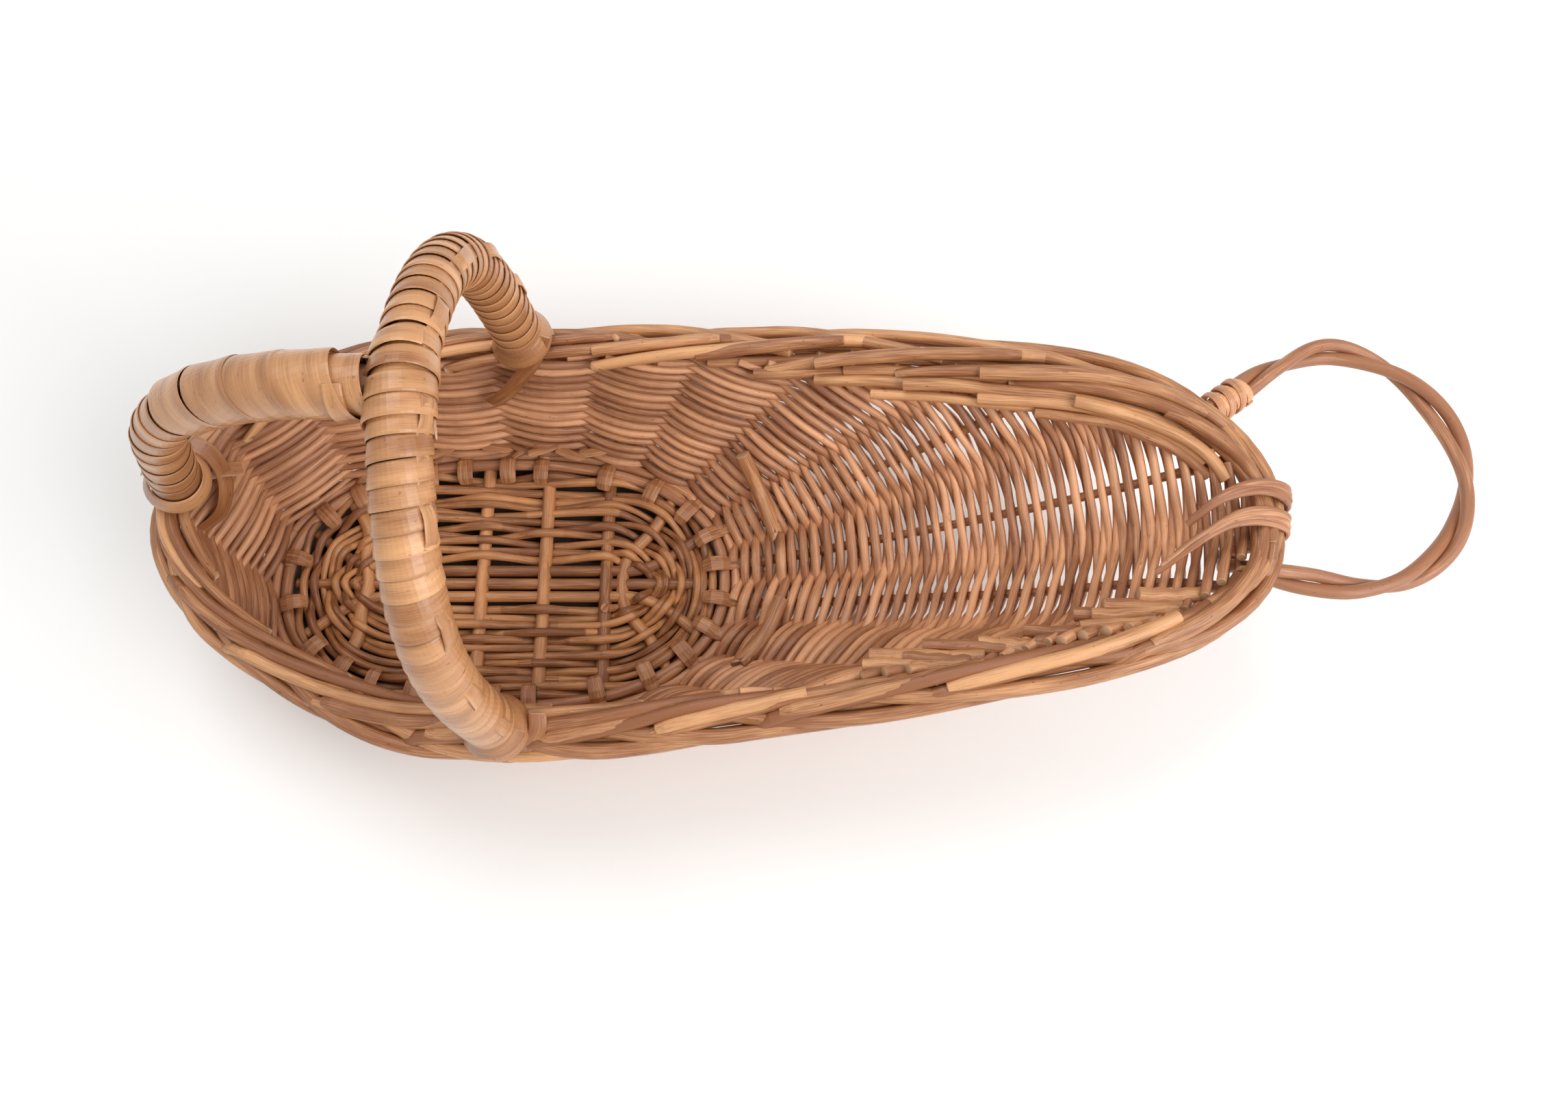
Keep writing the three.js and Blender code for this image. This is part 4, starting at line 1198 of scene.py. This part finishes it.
class BASKET_OT_cut_ends(bpy.types.Operator):
    """Adds the rods that end inside the border, the strokes' blunt starts, butts and torn tips"""

    bl_idname = "basket.cut_ends"
    bl_label = "Cut ends"

    def execute(self, context):
        bundle = Bundle()
        places = np.linspace(5, STAKES_PER_SIDE, 400)
        border = on_border(places, 0 * places, 0 * places)
        for x, y, z, reach in CUT_ENDS:
            end = np.array([x, y, z])
            near = places[np.argmin(np.linalg.norm(border - end, axis=1))]
            t = np.linspace(0, 1, 12)
            line = on_border(near + reach * t, 0 * t, 0 * t)
            line = line + (end - line[0]) * (1 - 0.8 * t)[:, None] - UP * (2.5 * t[:, None])
            bundle.add(natural(line, 0.5), chance.uniform(2.0, 2.6), sides=12, tone=chance.uniform(0, 0.7))
        for stake in range(STAKES):
            # The blunt start of each stroke, on top of the rods beside it.
            size = rod_size(stake) * np.interp(np.arange(14), [0, 1, 2], [0.7, 0.93, 0.98])
            passed = np.linspace(0.3, 1.5, 14)
            out = 7.6 - STROKES.get(stake, USUAL_STROKE)[1] * passed
            line = on_border(stake + passed, out, lane_height(out) + 1.5 - 2.4 * (passed / 1.5) ** 1.5)
            bundle.add(natural(line, 0.3), size, sides=12)
        for radius, first, last in FAR_RODS:
            line = on_border(*np.linspace(first, last, 30).T)
            bundle.add(natural(line, 0.6), radius, sides=12, tone=chance.uniform(0, 0.9))
        for points in BUTTS:
            bundle.add(Route(points).at(np.linspace(0, 1, 16)), 2.7, 2.4, sides=14, cut=8, tone=0.35)
        for x, y, degrees in TORN_TIPS:
            turn = math.radians(degrees)
            reach = np.linspace(-6, 6, 9)[:, None]
            line = np.array([x, y, 12.5]) + reach * np.array([math.cos(turn), math.sin(turn), 0.12])
            across = 1.7 * (1 - np.linspace(-0.6, 1, 9) ** 4 * 0.9)
            bundle.add(line, across, 0.3, sides=8, square=0.7, tone=0.5)
        bundle.finish("cut_ends", finish_of(context, "gold"), [])
        return {"FINISHED"}


# The camera: focal length and frame width in the same pixels, place from the middle of the base in
# millimetres, and its turns in radians
FOCAL_LENGTH, FRAME_WIDTH, SENSOR_WIDTH = 1983.58, 2291, 36
CAMERA_PLACE = (99.79, -148.28, 475.81)
CAMERA_DOWN, CAMERA_HEADING, CAMERA_ROLL = 1.2451, 0.0061, 0.0063
# Lamps: name, place, size and power, and the point that they face
LAMPS = (("window", (-0.35, 0.5, 1.25), 0.8, 6.6), ("bounce", (0.8, -0.5, 0.85), 0.9, 12.5))
LAMP_AIM = (0.0, 0.0, 0.05)
# One over the half length and the half width of the patch of painted shade under the base, in metres
PAINTED_SHADE_SCALE = (11.8, 19.5)
# The floor's pale colour, and the dark colour of the shade painted under the base
FLOOR_PALE, FLOOR_PAINTED_SHADE = (0.97, 0.97, 0.965, 1), (0.06, 0.04, 0.03, 1)


class BASKET_OT_stage(bpy.types.Operator):
    """Sets the pale floor with shade painted under the base, the soft lamps and the camera"""

    bl_idname = "basket.stage"
    bl_label = "Stage"

    def execute(self, context):
        bm = bmesh.new()
        bmesh.ops.create_grid(bm, x_segments=2, y_segments=2, size=4)
        bmesh.ops.translate(bm, verts=bm.verts, vec=(0, 0, -0.0004))
        mesh = bpy.data.meshes.new("floor")
        bm.to_mesh(mesh)
        bm.free()
        mesh.materials.append(floor_material())
        floor = bpy.data.objects.new("floor", mesh)
        context.scene.collection.objects.link(floor)
        floor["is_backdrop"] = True
        world = bpy.data.worlds.new("soft daylight")
        world.use_nodes = True
        background = world.node_tree.nodes["Background"]
        background.inputs["Color"].default_value = (1, 0.99, 0.97, 1)
        background.inputs["Strength"].default_value = 0.5
        context.scene.world = world
        for name, place, size, power in LAMPS:
            lamp = bpy.data.lights.new(name, "AREA")
            lamp.size = size
            lamp.energy = power
            lamp_object = bpy.data.objects.new(name, lamp)
            aim = np.array(LAMP_AIM) - np.array(place)
            lamp_object.matrix_world = looking(np.array(place), unit(aim), UP)
            context.scene.collection.objects.link(lamp_object)
        camera = bpy.data.cameras.new("camera")
        camera.sensor_width = SENSOR_WIDTH
        camera.lens = FOCAL_LENGTH * SENSOR_WIDTH / FRAME_WIDTH
        camera.clip_start = 0.01
        shooting = bpy.data.objects.new("camera", camera)
        level = math.cos(CAMERA_DOWN)
        aim = np.array([
            math.sin(CAMERA_HEADING) * level, math.cos(CAMERA_HEADING) * level, -math.sin(CAMERA_DOWN)
        ])
        right = np.array([math.cos(CAMERA_HEADING), -math.sin(CAMERA_HEADING), 0])
        above = np.cross(right, aim)
        above = above * math.cos(CAMERA_ROLL) - right * math.sin(CAMERA_ROLL)
        place = np.array(CAMERA_PLACE) * MM + BASE_MIDDLE
        shooting.matrix_world = looking(place, aim, above)
        context.scene.collection.objects.link(shooting)
        context.scene.camera = shooting
        context.scene.view_settings.view_transform = "Standard"
        return {"FINISHED"}


def looking(place, aim, above):
    right = unit(np.cross(aim, above))
    above = np.cross(right, aim)
    turn = Matrix([[right[i], above[i], -aim[i]] for i in range(3)]).to_4x4()
    turn.translation = place
    return turn


def floor_material():
    material = bpy.data.materials.new("pale floor")
    material.use_nodes = True
    tree = material.node_tree
    shader = tree.nodes["Principled BSDF"]
    # Painted shade: the floor is painted dark under the base, where hardly any light gets, so the base's gaps
    # look dark.
    spot = node(tree, "ShaderNodeTexCoord", (-1000, 0)).outputs["Object"]
    spot = scaled(tree, spot, (*PAINTED_SHADE_SCALE, 1), (-800, 0))
    centred = node(tree, "ShaderNodeVectorMath", (-600, 0), operation="SUBTRACT")
    centred.inputs[1].default_value = (*(BASE_MIDDLE[:2] * PAINTED_SHADE_SCALE), 0)
    reach = node(tree, "ShaderNodeVectorMath", (-400, 0), operation="LENGTH")
    join(tree, (spot, centred.inputs[0]), (centred.outputs[0], reach.inputs[0]))
    under = remap(tree, reach.outputs["Value"], 0.9, 1.0, 1, 0, (-200, 0))
    colour_here = mixed(tree, "MIX", under, FLOOR_PALE, FLOOR_PAINTED_SHADE, (-100, 0))
    join(tree, (colour_here, shader.inputs["Base Color"]))
    shader.inputs["Roughness"].default_value = 0.9
    shader.inputs["Specular IOR Level"].default_value = 0.1
    return material


class BASKET_OT_frame_finish(bpy.types.Operator):
    """Gives the handle's cores, which the wraps close in, their finish"""

    bl_idname = "basket.frame_finish"
    bl_label = "Handle cores"

    def execute(self, context):
        core = willow_material(
            "Handle core", (0.45, 0.24, 0.12), (0.3, 0.14, 0.07), (0.5, 0.3, 0.2), 0.4, 0.6, 0.0001
        )
        for name in ("handle_bow", "handle_strut"):
            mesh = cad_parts[name].data
            mesh.materials.clear()
            mesh.materials.append(core)
        return {"FINISHED"}


PIECES = (
    BASKET_OT_base_sticks, BASKET_OT_base_weave, BASKET_OT_base_hoop, BASKET_OT_side_weave,
    BASKET_OT_stakes, BASKET_OT_border_outer_rods, BASKET_OT_handle_wraps, BASKET_OT_foot_ties,
    BASKET_OT_nose_ties, BASKET_OT_nose_loop, BASKET_OT_cut_ends, BASKET_OT_frame_finish, BASKET_OT_stage,
)
GROUPS = {
    "basket_base": BaseSizes, "basket_wall": WallSizes, "basket_border": BorderSizes,
    "basket_handle": HandleSizes, "basket_loop": LoopSizes, "basket_colours": BasketColours,
}


class BASKET_PT_panel(bpy.types.Panel):
    """Lists the sizes, the colours and the steps that make the basket"""

    bl_idname = "BASKET_PT_panel"
    bl_label = "Basket"
    bl_space_type = "VIEW_3D"
    bl_region_type = "UI"
    bl_category = "Basket"

    def draw(self, context):
        layout = self.layout
        for key, group in GROUPS.items():
            box = layout.box()
            box.label(text=group.__name__)
            for name in group.__annotations__:
                box.prop(getattr(context.scene, key), name)
        for piece in PIECES:
            layout.operator(piece.bl_idname)


def register():
    for group in GROUPS.values():
        bpy.utils.register_class(group)
    for key, group in GROUPS.items():
        setattr(bpy.types.Scene, key, PointerProperty(type=group))
    for piece in (*PIECES, BASKET_PT_panel):
        bpy.utils.register_class(piece)


def unregister():
    for piece in (BASKET_PT_panel, *reversed(PIECES)):
        bpy.utils.unregister_class(piece)
    for key in GROUPS:
        delattr(bpy.types.Scene, key)
    for group in GROUPS.values():
        bpy.utils.unregister_class(group)


def main():
    register()
    for piece in PIECES:
        category, name = piece.bl_idname.split(".")
        getattr(getattr(bpy.ops, category), name)()
    for mesh, _ in FORMS.values():
        bpy.data.meshes.remove(mesh)
    corners = [[list(corner) for corner in bounds] for bounds in (CAD_BOUNDS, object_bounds())]


if __name__ == "__main__":
    main()
